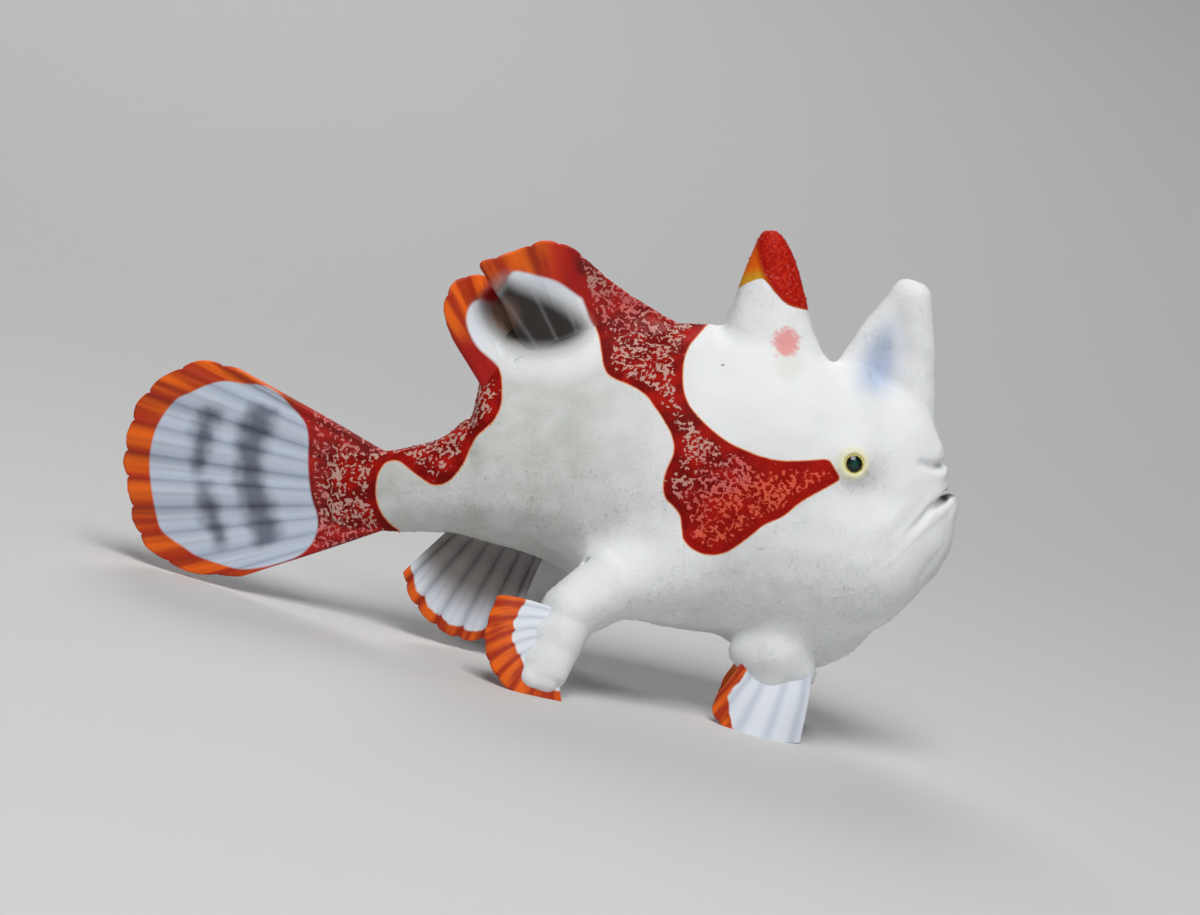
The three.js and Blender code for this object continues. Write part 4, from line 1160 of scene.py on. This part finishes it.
def bent_rays(root, tip, bow, t):
    """Points at shares t along rays that bow between their ends, with the tail's sway."""
    middle = ((root + tip) / 2 + bow)[:, None]
    root, tip, t = root[:, None], tip[:, None], t[:, :, None]
    a = root + t * (middle - root)
    b = middle + t * (tip - middle)
    line = a + t * (b - a)
    line[:, :, 1] += sway(line[:, :, 0])
    return line


def sheet_faces(columns, rows):
    """Squares of both faces of a grid of columns and rows, and of the rim that joins them."""
    c, s = np.meshgrid(np.arange(columns - 1), np.arange(rows - 1), indexing="ij")
    a, b = (c * rows + s).ravel(), ((c + 1) * rows + s).ravel()
    back = columns * rows
    front_faces = np.stack([a, b, b + 1, a + 1], 1)
    back_faces = np.stack([a, a + 1, b + 1, b], 1) + back
    rim = np.concatenate([
        np.arange(columns - 1) * rows,
        (columns - 1) * rows + np.arange(rows - 1),
        np.arange(columns - 1, 0, -1) * rows + rows - 1,
        np.arange(rows - 1, 0, -1),
    ])
    after = np.roll(rim, -1)
    rim_faces = np.stack([rim + back, after + back, after, rim], 1)
    return np.vstack([front_faces, back_faces, rim_faces])


DORSAL_ROOT = [(4.3, 0, 20.1), (1.0, 0, 20.6), (-2.0, 0, 19.8), (-4.5, 0, 18.7), (-5.6, 0, 17.2)]
DORSAL_TIPS = [
    (4.1, 0, 20.7), (2.25, -0.2, 21.8), (0.9, -0.5, 22.7), (-0.3, -0.8, 23.7), (-1.4, -1.0, 24.65),
    (-2.7, -1.2, 25.0), (-4.2, -1.0, 24.5), (-5.9, -1.4, 23.9), (-4.9, 0.9, 22.9), (-6.1, 0.4, 23.25),
    (-7.25, -0.5, 22.9), (-7.75, -0.8, 21.65), (-7.35, -0.4, 20.15),
]
DORSAL_BOW = (-0.25, 0, 0.3)
TAIL_ROOT = [(-10.6, 0, 14.3), (-10.6, 0, 10.5)]
TAIL_TIPS = [
    (-18.0, 0, 18.35), (-20.15, 0, 18.85), (-22.25, 0, 17.9), (-23.5, 0, 16.6), (-24.0, 0, 15.05),
    (-24.25, 0, 13.6), (-24.0, 0, 12.2), (-23.8, 0, 10.65), (-23.05, 0, 9.3), (-20.9, 0, 8.15),
    (-18.1, 0, 8.0),
]
TAIL_PLEAT = 0.12
TAIL_FOLD = 0.45
ANAL_ROOT = [(-2.6, 0, 9.6), (-7.0, 0, 11.0)]
ANAL_MARGIN = [
    (-4.25, 0, 5.6), (-5.4, 0, 5.0), (-6.6, 0, 4.85), (-7.75, 0, 5.2), (-8.8, 0, 6.0), (-9.6, 0, 7.1),
    (-9.9, 0, 8.3),
]
ANAL_BOW = (-0.3, 0, -0.2)
ANAL_RAYS = 7
HAND_ROOT = [(-2.2, 5.9, 7.3), (-2.4, 6.3, 6.0), (-1.8, 6.4, 4.7)]
HAND_MARGIN = [
    (-4.95, 5.9, 8.0), (-5.5, 6.6, 6.6), (-5.45, 7.2, 5.2), (-4.8, 7.6, 4.1), (-3.6, 7.8, 3.1),
    (-1.8, 7.4, 2.7),
]
HAND_RAYS = 9
HAND_BOW = (-0.3, 0.4, 0.5)
FOOT_ROOT = [(6.95, 2.2, 3.95), (10.5, 2.2, 3.7)]
FOOT_MARGIN = [
    (5.95, 2.3, 2.25), (5.65, 2.65, 1.6), (6.2, 3.2, 0.95), (7.4, 3.8, 0.5), (8.7, 3.7, 0.25),
    (9.85, 3.0, 0.2),
]
FOOT_RAYS = 6
FOOT_BOW = (0, 0.35, 0.2)
FOOT_REAR_BOW = (-0.25, 0, -0.1)

# Columns between two rays, steps along one, thickness of rays and webs at root and margin, of the root and
# how far up it reaches, depth of the notches between rays, of forks and pleats, and the rounded edge's width
THIN_FIN = {
    "between": 16, "steps": 70, "ray": 0.42, "ray_tip": 0.26, "web": 0.14, "web_tip": 0.1,
    "root": 0.8, "root_share": 0.3, "notch": 0.03, "fork": 0.4, "pleat": 0.14, "rounding": 0.14,
}
TAIL_FIN = {**THIN_FIN, "root": 0.5, "ray": 0.55, "notch": 0.02, "pleat": 0.2}
DORSAL_FIN = {**THIN_FIN, "notch": 0.018, "root": 1.15, "root_share": 0.5}
HAND_FIN = {
    **THIN_FIN, "root": 1.7, "root_share": 0.6, "ray": 0.6, "ray_tip": 0.42, "web": 0.35, "web_tip": 0.25,
    "pleat": 0.1,
}
FOOT_FIN = {
    **THIN_FIN, "root": 1.9, "root_share": 0.9, "notch": 0.02, "ray": 0.8, "ray_tip": 0.5, "web": 0.6,
    "web_tip": 0.35, "pleat": 0.05, "fork": 0.2,
}

# The orange margin's width: between which rays it changes, and from what to what
ANAL_ORANGE = (0.0, 1.0, 0.55, 0.55)
HAND_ORANGE = (4.5, 7.5, 1.45, 0.85)
FOOT_ORANGE = (1.0, 3.3, 1.2, -0.4)
FOOT_SIDE_ORANGE = 0.6

# Columns and rows of the photograph past which the red deepens
TAIL_RED_FROM = 300
DORSAL_RED_FROM = 560
REAR_RED_FROM = 330

TAIL_WHITE = [
    (262, 384), (245, 384), (225, 380), (205, 385), (190, 393), (178, 397), (168, 408), (160, 420),
    (155, 430), (151, 445), (149, 460), (150, 480), (153, 500), (156, 515), (160, 530), (172, 540),
    (185, 548), (195, 556), (225, 566), (240, 570), (262, 568), (285, 562), (300, 556), (312, 545),
    (318, 530), (318, 515), (312, 500), (309, 480), (308, 460), (309, 440), (307, 425), (300, 415),
    (290, 405), (278, 392),
]
TAIL_BANDS = [
    [(259, 422, 18), (251, 445, 16), (249, 472, 15), (256, 502, 16), (266, 530, 16)],
    [(210, 414, 11), (201, 440, 13), (198, 466, 9)],
    [(203, 490, 9), (211, 515, 12), (220, 538, 9)],
]
# Outline of the dorsal fin's curled web, painted dark as shade
DORSAL_SHADED_WEB = [
    (481, 305), (488, 300), (505, 277), (517, 284), (532, 290), (550, 298), (567, 307), (589, 325),
    (582, 337), (566, 346), (545, 350), (522, 349), (503, 341), (490, 328), (483, 315),
]
DORSAL_DARK_RED = [
    (479, 300), (485, 288), (495, 280), (506, 277), (513, 283), (511, 293), (501, 301), (489, 305),
]
# Middle of the web's painted glow, where light comes through it
DORSAL_BACKLIT = (499, 317)
DORSAL_WHITE = [
    (514, 270), (525, 272), (540, 276), (556, 280), (568, 288), (580, 297), (600, 308), (610, 322),
    (615, 345), (615, 400), (508, 400), (504, 378), (498, 366), (488, 357), (477, 348), (469, 334),
    (465, 318), (470, 303), (482, 298), (494, 296), (506, 284), (508, 276),
]


def inside_band(px, band):
    """How far inside a band each pixel lies, in millimetres. A band is a line of points with half-widths."""
    inside = np.full(len(px), -np.inf)
    band = np.array(band, float)
    for a, b in zip(band[:-1], band[1:]):
        edge = b - a
        t = np.clip((px - a[:2]) @ edge[:2] / (edge[:2] @ edge[:2]), 0, 1)
        far = np.linalg.norm(px - a[:2] - t[:, None] * edge[:2], axis=1)
        inside = np.maximum(inside, a[2] + t * edge[2] - far)
    return inside / PX_PER_MM


def add_fin(node, rays, shape, material, marks=None, above_floor=False):
    points, faces, values = fin_sheet(rays, shape)
    if above_floor:
        points[:, 2] = np.maximum(points[:, 2], floor_z(points[:, 0]))
    if marks:
        values.update(marks(px_of(points)))
    finished(mesh_piece(f"{node}_looks", points, faces, material, values), "fin", node)


def tail_marks(px):
    return {
        "white": inside_by(px, TAIL_WHITE),
        "band": np.maximum.reduce([inside_band(px, band) for band in TAIL_BANDS]),
        "redness": (px[:, 0] - TAIL_RED_FROM) / PX_PER_MM,
    }


def dorsal_marks(px):
    saddle = inside_by(px, SHOULDER_SADDLE)
    return {
        "grey": inside_by(px, DORSAL_SHADED_WEB),
        "dark_red": inside_by(px, DORSAL_DARK_RED),
        "brown": far_from(px, DORSAL_BACKLIT),
        "white": np.minimum(inside_by(px, DORSAL_WHITE), -saddle),
        "saddle": saddle,
        "redness": (px[:, 0] - DORSAL_RED_FROM) / PX_PER_MM,
        "rear_red": (px[:, 1] - REAR_RED_FROM) / PX_PER_MM,
    }


def streaked_orange(p):
    """Orange margin, bright on the rays and darker in the creases as painted shade, with streaks along the
    rays.
    """
    streak = p.put("ShaderNodeTexNoise", {"Vector": ray_space(p), "Scale": 1.0, "Detail": 2.0}).outputs[0]
    orange = p.mix(p.step(streak, 0.32, 0.6, 0.1, 1.0), BURNT_ORANGE, ORANGE)
    return p.mix(p.step("ray", 0.9, 0.15, 0.0, 0.95), orange, BURNT_ORANGE)


def ray_space(p):
    """A place for noise that is stretched along the rays."""
    return p.put("ShaderNodeCombineXYZ", {0: p.times("across", 2.2), 1: p.times("along", 1.6)}).outputs[0]


def fin_paint(name):
    p = Paint(name, Roughness=0.5, Subsurface_Weight=0.12, Subsurface_Scale=0.0003, Specular_IOR_Level=0.3)
    p.bump(p.noise(0.12, 3.0), 0.02, 0.4)
    return p


def ray_shade(p, color, dark, strength):
    """Painted shade: darkens softly towards the creases between the rays."""
    return p.mix(p.step("ray", 0.95, 0.05, 0.0, strength), color, dark)


def tail_paint():
    p = fin_paint("frogfish_tail_fin")
    wavy = p.times(p.minus("ray", 0.6), 0.15)
    fuzzy = p.minus(p.plus("band", p.times(p.noise(0.9, 1.5), 0.8)), wavy)
    dark = ray_shade(p, BAND_GREY, FIN_GREY, 0.8)
    white = p.layers(ray_shade(p, TAIL_PALE_SHADED, FIN_BLUE, 0.55), (fuzzy, 0.0, 1.0, 0.88, dark))
    red = speckled_red(p, p.plus("redness", -0.2), 0.0, -0.05)
    tints = ("redness", -1.8, 0.3, 1.0, red), ("white", -0.06, 0.08, 1.0, white)
    p.color(p.layers(streaked_orange(p), *tints))
    return p.material


def dorsal_paint():
    p = fin_paint("frogfish_dorsal_fin")
    # Painted shade of the curled web, warmer towards a painted glow where light comes through it
    grey = p.mix(p.step("brown", 1.4, 0.3), WEB_DARK, WEB_BROWN)
    color = p.layers(
        streaked_orange(p),
        ("redness", -1.2, -0.1, 1.0, SCARLET),
        ("redness", -0.3, 0.6, 1.0, BRIGHT_RED),
        ("rear_red", -0.2, 1.0, 1.0, BRIGHT_RED),
        ("saddle", -0.1, 0.3, 1.0, speckled_red(p, "saddle", 0.0)),
        ("white", -0.08, 0.12, 1.0, p.mix(p.step("along", 0.12, 0.5), skin_ground(p), FIN_WHITE)),
        # A grey fringe, then the web's painted shade with its paler rays
        ("grey", -0.7, 0.1, 0.6, WEB_PALE),
        ("grey", -0.3, 0.6, 1.0, p.mix(p.times("line", 0.3), grey, WEB_PALE)),
    )
    dark_red = p.times(p.step("dark_red", -0.25, 0.3), p.step("across", 7.2, 7.7))
    p.color(p.mix(dark_red, color, DARK_RED))
    return p.material


def edged_paint(name, width, ground=None, side_width=None):
    """White web with an orange margin, whose width changes from the first ray to the last, with painted shade
    in its creases and, where a ground is given, painted shade towards the root.
    """
    p = fin_paint(name)
    reach = p.minus("edge", p.step("across", *width))
    if side_width:
        reach = p.math("MINIMUM", reach, p.minus("beside", side_width))
    ragged = p.plus(reach, p.times(p.noise(0.5), 0.3))
    white = ray_shade(p, FIN_WHITE, FIN_BLUE, 0.35)
    # Painted shade, darker towards the root, where one is given
    if ground:
        white = p.layers(white, ("along", 0.85, 0.45, 0.85, ground))
    p.color(p.mix(p.step(ragged, 0.22, 0.08), white, streaked_orange(p)))
    return p.material


def side_fan(side, root, margin, count, bow, placed):
    """The fan of a hand or a foot, placed by the function that sets that limb back."""
    root, margin = ([placed(side, point) for point in line] for line in (root, margin))
    return fan(root, margin, count, (bow[0], side * bow[1], bow[2]))


def make_fins():
    count = len(TAIL_TIPS)
    tips = np.array(TAIL_TIPS, float)
    tips[:, 1] = TAIL_PLEAT * np.where(np.arange(count) % 2, 1, -1)
    tips[-2:, 1] -= TAIL_FOLD
    add_fin("tail_fin", fan(TAIL_ROOT, tips, count, (0, 0, 0)), TAIL_FIN, tail_paint(), tail_marks)
    dorsal = fan(DORSAL_ROOT, DORSAL_TIPS, len(DORSAL_TIPS), DORSAL_BOW)
    add_fin("dorsal_fin", dorsal, DORSAL_FIN, dorsal_paint(), dorsal_marks)
    anal = fan(ANAL_ROOT, ANAL_MARGIN, ANAL_RAYS, ANAL_BOW)
    # The anal fin's web gets painted shade towards its root
    add_fin("anal_fin", anal, THIN_FIN, edged_paint("frogfish_anal_fin", ANAL_ORANGE, WEB_SHADE))
    hand_fin = edged_paint("frogfish_hand_fin", HAND_ORANGE)
    foot_fin = edged_paint("frogfish_foot_fin", FOOT_ORANGE, side_width=FOOT_SIDE_ORANGE)
    for side, end in SIDES.items():
        hand = side_fan(side, HAND_ROOT, HAND_MARGIN, HAND_RAYS, HAND_BOW, on_hand)
        add_fin(f"hand_{end}", hand, HAND_FIN, hand_fin, above_floor=True)
        foot = side_fan(side, FOOT_ROOT, FOOT_MARGIN, FOOT_RAYS, FOOT_BOW, on_foot)
        foot["bow"][0] += FOOT_REAR_BOW
        add_fin(f"foot_{end}", foot, FOOT_FIN, foot_fin, above_floor=True)


# Eyes and lure

PUPIL_RADIUS = 0.41
PUPIL_EDGE = 0.02
EYE_AROUND = 64
EYE_DOWN = 48


def eye_paint():
    p = Paint("frogfish_eye", Roughness=0.12, Specular_IOR_Level=0.25, Coat_Weight=0.35, Coat_Roughness=0.03)
    iris = p.mix(p.step(p.noise(0.1, 3.0), 0.35, 0.65), IRIS_DARK, IRIS_YELLOW)
    pupil = ("off_axis", PUPIL_RADIUS + PUPIL_EDGE, PUPIL_RADIUS - PUPIL_EDGE, 1.0, PUPIL)
    # Black pupil, with a painted green glint in its middle
    p.color(p.layers(iris, pupil, ("off_axis", 0.3, 0.05, 1.0, PUPIL_GLINT_GREEN)))
    return p.material


def make_eyes():
    material = eye_paint()
    turns = np.linspace(0, 2 * math.pi, EYE_AROUND, endpoint=False)
    turn, down = np.meshgrid(turns, np.linspace(0, math.pi, EYE_DOWN + 1)[1:-1])
    for side, end in SIDES.items():
        centre, out = on_flank(side, EYE, EYE["depth"]), eye_axis(side)
        globe = np.sin(down)[..., None] * ring_round(out, turn) + np.cos(down)[..., None] * out
        globe = np.vstack([globe.reshape(-1, 3), out, -out])
        off = EYE["radius"] * np.linalg.norm(globe - (globe @ out)[:, None] * out, axis=1)
        off[globe @ out < 0] = 1
        points, faces = centre + EYE["radius"] * globe, globe_faces(EYE_AROUND, EYE_DOWN - 1)
        piece = mesh_piece(f"eye_{end}_looks", points, faces, material, {"off_axis": off})
        finished(piece, "eye", f"eye_{end}")


def globe_faces(around, rings):
    """Triangles of a ball of rings of points, with its two poles as the last points."""
    this = np.arange(around)
    after = (this + 1) % around
    low = np.arange(rings - 1)[:, None] * around
    high = low + around
    quads = [(low + this, high + after, low + after), (low + this, high + this, high + after)]
    top, last = rings * around + 0 * this, (rings - 1) * around
    caps = [(this, after, top), (last + after, last + this, top + 1)]
    return np.vstack([np.stack(corners, -1).reshape(-1, 3) for corners in quads + caps])


ROD = [(15.9, 0.8, 14.9), (16.0, 1.3, 15.9), (15.95, 1.55, 17.0), (15.9, 1.6, 18.6), (15.8, 1.6, 20.4)]
ROD_BULB = {"at": (16.0, 1.1, 15.35), "size": (0.5, 0.45, 0.55)}
BAIT = {"at": (15.75, 1.6, 20.6), "size": (0.42, 0.34, 0.6)}
ROD_POINTS = 24
ROD_RADII = (0.2, 0.13)
LURE_BLEND = 0.3

# Lobes of the bait: their turns from upright, how far they swing aside, and the places along them with radii
LOBE_TURNS = (-0.6, -0.2, 0.25, 0.65)
LOBE_ASIDE = 0.3
LOBE = [(0.3, 0.22), (0.85, 0.15), (1.25, 0.07)]
LOBE_BLEND = 0.12
LURE_BOX = [(15.2, -0.2, 14.0), (18.2, 3.0, 23.8)]
LURE_CELL = 0.07


def lure_lobe(turn):
    way = np.array([math.sin(turn), LOBE_ASIDE * math.cos(3 * turn), math.cos(turn)])
    return limb([(*(np.array(BAIT["at"]) + along * way), radius) for along, radius in LOBE])


def make_lure():
    line = curve_through(ROD, ROD_POINTS)
    rod = limb([(*point, radius) for point, radius in zip(line, np.linspace(*ROD_RADII, ROD_POINTS))])
    knots = [ball(shape["at"], shape["size"]) for shape in (ROD_BULB, BAIT)]
    lobes = [lure_lobe(turn) for turn in LOBE_TURNS]

    def field(*at):
        return join_all(join_all(rod(*at), knots, LURE_BLEND, at), lobes, LOBE_BLEND, at)

    points, faces = surface(field, *LURE_BOX, LURE_CELL)
    points = settled(field, points, LURE_CELL)
    p = Paint("frogfish_lure", Roughness=0.5, Subsurface_Weight=0.4, Subsurface_Scale=0.0005)
    p.color(p.layers(SKIN_WHITE, (p.noise(0.5), 0.4, 0.6, 0.3, BLUE_SHADE_AND_MOTTLE)))
    p.bump(p.noise(0.12), 0.02, 0.4)
    finished(mesh_piece("lure_looks", points, faces, p.material), "lure", "lure")


# Spinules: tiny prickles all over the skin, each a closed spike of three sides
SPINULE_SPACING = 0.2
SPINULE_FOOT = 0.1
SPINULE_HEIGHT = 0.028
SPINULE_SUNK = 0.08
SPINULE_WAY = (-1.0, 0.0, -0.15)
SPINULE_LEAN = 0.4
LEAN_RANGE = (0.6, 1.4)
SIZE_RANGE = (0.75, 1.25)
SPINULE_JITTER = 0.02
SPINULE_SEED = 11
SPINULE_CORNERS = 3
SPINULE_LOW = {"face": 0.7, "feet": 0.7}
SPINULE_TALL = 1.5
SPINE_FRONT = {"x": (15.3, 16.2), "z": (16.4, 18.5)}
CLEAR_OF = {"eye": 0.62, "mouth": 0.06}
NORMAL_SPREAD = 0.15
FACE_FROM_X = 14.0
FEET_BELOW = 2.2

# The unwrap: a chart for the body, one for each spine and one for the limbs. A spine or a limb counts from
# some height or width on, and is unrolled round its axis, over a length from a start
PATCH = 0.003
UV_MARGIN = 0.01
ON_FORM = 0.1
BODY_CHART = {"u": (0.01, 0.64), "v": (0.01, 0.99)}
SIDE_CHART = {"u": (0.67, 0.99)}
SECOND_CHART = {**SIDE_CHART, "v": (0.01, 0.31), "from_z": 16.5, "start": 16.0, "length": 8.0, "axis_x": 14.2}
THIRD_CHART = {**SIDE_CHART, "v": (0.34, 0.64), "from_z": 19.5, "start": 19.0, "length": 7.0, "axis_x": 8.5}
LIMB_CHART = {**SIDE_CHART, "v": (0.67, 0.99), "from_y": 4.6, "start": 2, "length": 8, "axis": (-2.2, 5.5)}


def point_normals(points, faces):
    """Outward unit vectors of a mesh of squares at its points."""
    a, b, c, d = (points[faces[:, i]] for i in range(4))
    across = np.cross(c - a, d - b)
    normals = np.zeros_like(points)
    for i in range(4):
        np.add.at(normals, faces[:, i], across)
    return unit(normals)


def spinule_roots(points, random):
    """An even, slightly random spread of the skin's points, clear of the eyes and the mouth."""
    order = random.permutation(len(points))
    cubes = np.floor(points[order] / SPINULE_SPACING).astype(int)
    first = np.unique(cubes, axis=0, return_index=True)[1]
    chosen = order[first]
    spots = points[chosen]
    return chosen[(far_from_eye(spots) > CLEAR_OF["eye"]) & (far_from_mouth(spots) > CLEAR_OF["mouth"])]


def turn_share(across, up):
    """The angle round an axis as a share of half a turn, from top to bottom on either side."""
    return np.abs(np.arctan2(across, up)) / math.pi


def in_chart(chart, u, v):
    (left, right), (low, high) = chart["u"], chart["v"]
    u, v = np.clip(u, UV_MARGIN, 1 - UV_MARGIN), np.clip(v, UV_MARGIN, 1 - UV_MARGIN)
    return np.stack([left + u * (right - left), low + v * (high - low)], 1)


def skin_unwrap(points):
    """Where the skin points of one side lie when body, spines and limbs are unrolled round their axes."""
    x, y, z = points.T
    middle = trunk.section(x)[3]
    share = (x - TRUNK[0][0]) / (TRUNK[-1][0] - TRUNK[0][0])
    uv = in_chart(BODY_CHART, share, turn_share(y - sway(x), z - middle))
    for spine, chart in ((second_spine, SECOND_CHART), (third_spine, THIRD_CHART)):
        own = in_chart(chart, (z - chart["start"]) / chart["length"], turn_share(y, x - chart["axis_x"]))
        uv = np.where(((spine(x, y, z) < ON_FORM) & (z > chart["from_z"]))[:, None], own, uv)
    chart, (axis_x, axis_y) = LIMB_CHART, LIMB_CHART["axis"]
    turn = np.arctan2(x - axis_x, np.abs(y) - axis_y) / (2 * math.pi) + 0.5
    own = in_chart(chart, (z - chart["start"]) / chart["length"], turn)
    return np.where(((far_from_arms(points) < ON_FORM) & (np.abs(y) > chart["from_y"]))[:, None], own, uv)


def spikes(roots, normals, sizes, random):
    """Closed spikes of three sides, leaning back along the skin: points, triangles and soft normals."""
    n = SPINULE_CORNERS
    lie = unit(np.array(SPINULE_WAY) - normals * (normals @ np.array(SPINULE_WAY))[:, None])
    beside = np.cross(normals, lie)
    start = random.uniform(0, 2 * math.pi, len(roots))
    rings, spread = [], []
    for k in range(n):
        turn = start + 2 * math.pi * k / n
        out = np.cos(turn)[:, None] * lie + np.sin(turn)[:, None] * beside
        rings.append(roots + SPINULE_FOOT * sizes[:, None] * out - SPINULE_SUNK * normals)
        spread.append(normals + NORMAL_SPREAD * out)
    lean = SPINULE_LEAN * random.uniform(*LEAN_RANGE, len(roots))[:, None]
    tips = roots + SPINULE_HEIGHT * sizes[:, None] * (normals + lean * lie)
    points = np.stack(rings + [tips], 1).reshape(-1, 3)
    sides = [(k, (k + 1) % n, n) for k in range(n)] + [tuple(range(n))[::-1]]
    faces = (np.arange(len(roots)) * (n + 1))[:, None, None] + np.array(sides)
    return points, faces.reshape(-1, 3), unit(np.stack(spread + [normals], 1).reshape(-1, 3))


def on_spine_front(roots):
    """From 0 to 1 towards the front and the top of the second spine."""
    (x0, x1), (z0, z1) = SPINE_FRONT["x"], SPINE_FRONT["z"]
    return np.clip((roots[:, 0] - x0) / (x1 - x0), 0, 1) * np.clip((roots[:, 2] - z0) / (z1 - z0), 0, 1)


def tuft_patches(uv):
    """A small triangle of the unwrap for each spike's foot, with its tip in the middle."""
    turn = 2 * math.pi * np.arange(SPINULE_CORNERS) / SPINULE_CORNERS
    offsets = np.vstack([np.stack([np.cos(turn), np.sin(turn)], 1) * PATCH / 2, [[0, 0]]])
    return (uv[:, None] + offsets).reshape(-1, 2)


def make_coat(points, faces, material):
    random = np.random.default_rng(SPINULE_SEED)
    normals = point_normals(points, faces)
    chosen = spinule_roots(points, random)
    for side, end in SIDES.items():
        half = chosen[(points[chosen, 1] - sway(points[chosen, 0]) > 0) == (side > 0)]
        roots = points[half] + random.normal(0, SPINULE_JITTER, (len(half), 3))
        sizes = random.uniform(*SIZE_RANGE, len(half))
        sizes *= 1 + (SPINULE_LOW["face"] - 1) * np.clip(roots[:, 0] - FACE_FROM_X, 0, 1)
        sizes *= 1 + (SPINULE_TALL - 1) * on_spine_front(roots)
        sizes *= np.where(roots[:, 2] - floor_z(roots[:, 0]) < FEET_BELOW, SPINULE_LOW["feet"], 1)
        tips, triangles, soft = spikes(roots, normals[half], sizes, random)
        marks = {key: np.repeat(value, SPINULE_CORNERS + 1) for key, value in skin_marks(roots).items()}
        uv = tuft_patches(skin_unwrap(roots))
        finished(mesh_piece(f"spinules_{end}", tips, triangles, material, marks, uv, soft), "skin")


FLESH_NODES = [
    "head", "lower_jaw", "torso", "tail_stem", "arm_right", "arm_left", "dorsal_spine_2", "dorsal_spine_3",
]
SKIN_BOX = [(-14.0, -8.5, 1.0), (19.2, 8.5, 26.4)]


def make_skin():
    points, faces = surface(flesh, *SKIN_BOX, SKIN_CELL)
    points = settled(flesh, points, SKIN_CELL)
    material = skin_paint()
    finished(mesh_piece("skin", points, faces, material, skin_marks(points)), "skin", *FLESH_NODES)
    make_coat(points, faces, material)


# Floor, light and camera, in metres and watts

# The flat middle of the floor, the radius of the curve round it and the top of the wall
STAGE_FLAT = 0.11
STAGE_CURVE = 0.5
STAGE_TOP = 2.0
STAGE_RINGS = 33
STAGE_SIDES = 128
STAGE_GREY = rgb(0.61, 0.61, 0.615)

# Place, size, power and colour of each light, and the height that they all aim at
LIGHTS = {
    "key": [(0.01, -0.15, 0.265), 0.16, 0.75, (1.0, 0.985, 0.96)],
    "fill": [(-0.26, -0.20, 0.10), 0.25, 0.03, (0.90, 0.95, 1.0)],
    "back": [(-0.06, 0.30, 0.26), 0.18, 0.45, (1.0, 1.0, 1.0)],
}
LIGHTS_AIM_Z = 0.012
WORLD_COLOR = rgb(0.90, 0.94, 1.0)
WORLD_STRENGTH = 0.13
CLIP_START = 0.01


def make_stage():
    """A round floor that curves up into a wall on every side."""
    p = Paint("studio_floor", Roughness=0.8)
    p.color(STAGE_GREY)
    turns = np.linspace(0, math.pi / 2, STAGE_RINGS)
    profile = [(STAGE_FLAT + STAGE_CURVE * math.sin(t), STAGE_CURVE * (1 - math.cos(t))) for t in turns]
    profile.append((STAGE_FLAT + STAGE_CURVE, STAGE_TOP))
    around = np.linspace(0, 2 * math.pi, STAGE_SIDES, endpoint=False)
    rows = [(0.0, 0.0, 0.0)] + [(r * math.cos(a), r * math.sin(a), z) for r, z in profile for a in around]
    faces = [(0, 1 + i, 1 + (i + 1) % STAGE_SIDES) for i in range(STAGE_SIDES)]
    for ring in range(len(profile) - 1):
        low, high = 1 + ring * STAGE_SIDES, 1 + (ring + 1) * STAGE_SIDES
        for i in range(STAGE_SIDES):
            n = (i + 1) % STAGE_SIDES
            faces.append((low + i, high + i, high + n, low + n))
    mesh = bpy.data.meshes.new("studio_floor")
    mesh.from_pydata(rows, [], faces)
    mesh.polygons.foreach_set("use_smooth", [True] * len(mesh.polygons))
    mesh.materials.append(p.material)
    floor = linked("studio_floor", mesh)


def make_lights():
    for name, (at, size, power, color) in LIGHTS.items():
        light = bpy.data.lights.new(name, "AREA")
        light.size = size
        light.energy = power
        light.color = color
        lamp = linked(name, light)
        lamp.location = at
        aim = np.array([0, 0, LIGHTS_AIM_Z]) - at
        lamp.rotation_euler = Vector(aim).to_track_quat("-Z", "Y").to_euler()
    world = bpy.data.worlds.new("studio")
    world.use_nodes = True
    sky = world.node_tree.nodes["Background"].inputs
    sky["Color"].default_value = WORLD_COLOR
    sky["Strength"].default_value = WORLD_STRENGTH
    bpy.context.scene.world = world


def make_camera():
    right, up, ahead = sight_axes()
    x, y = turned([right, up])
    at = place([SIGHT["target"] - SIGHT["distance"] * ahead])[0]
    data = bpy.data.cameras.new("camera")
    data.lens = LENS
    data.sensor_width = SENSOR
    data.clip_start = CLIP_START
    camera = linked("camera", data)
    rows = np.eye(4)
    rows[:3] = np.stack([x, y, np.cross(x, y), at], 1)
    camera.matrix_world = Matrix(rows.tolist())
    bpy.context.scene.camera = camera
    bpy.context.scene.view_settings.view_transform = "Standard"


make_camera()
make_lights()
make_stage()
make_skin()
make_fins()
make_eyes()
make_lure()
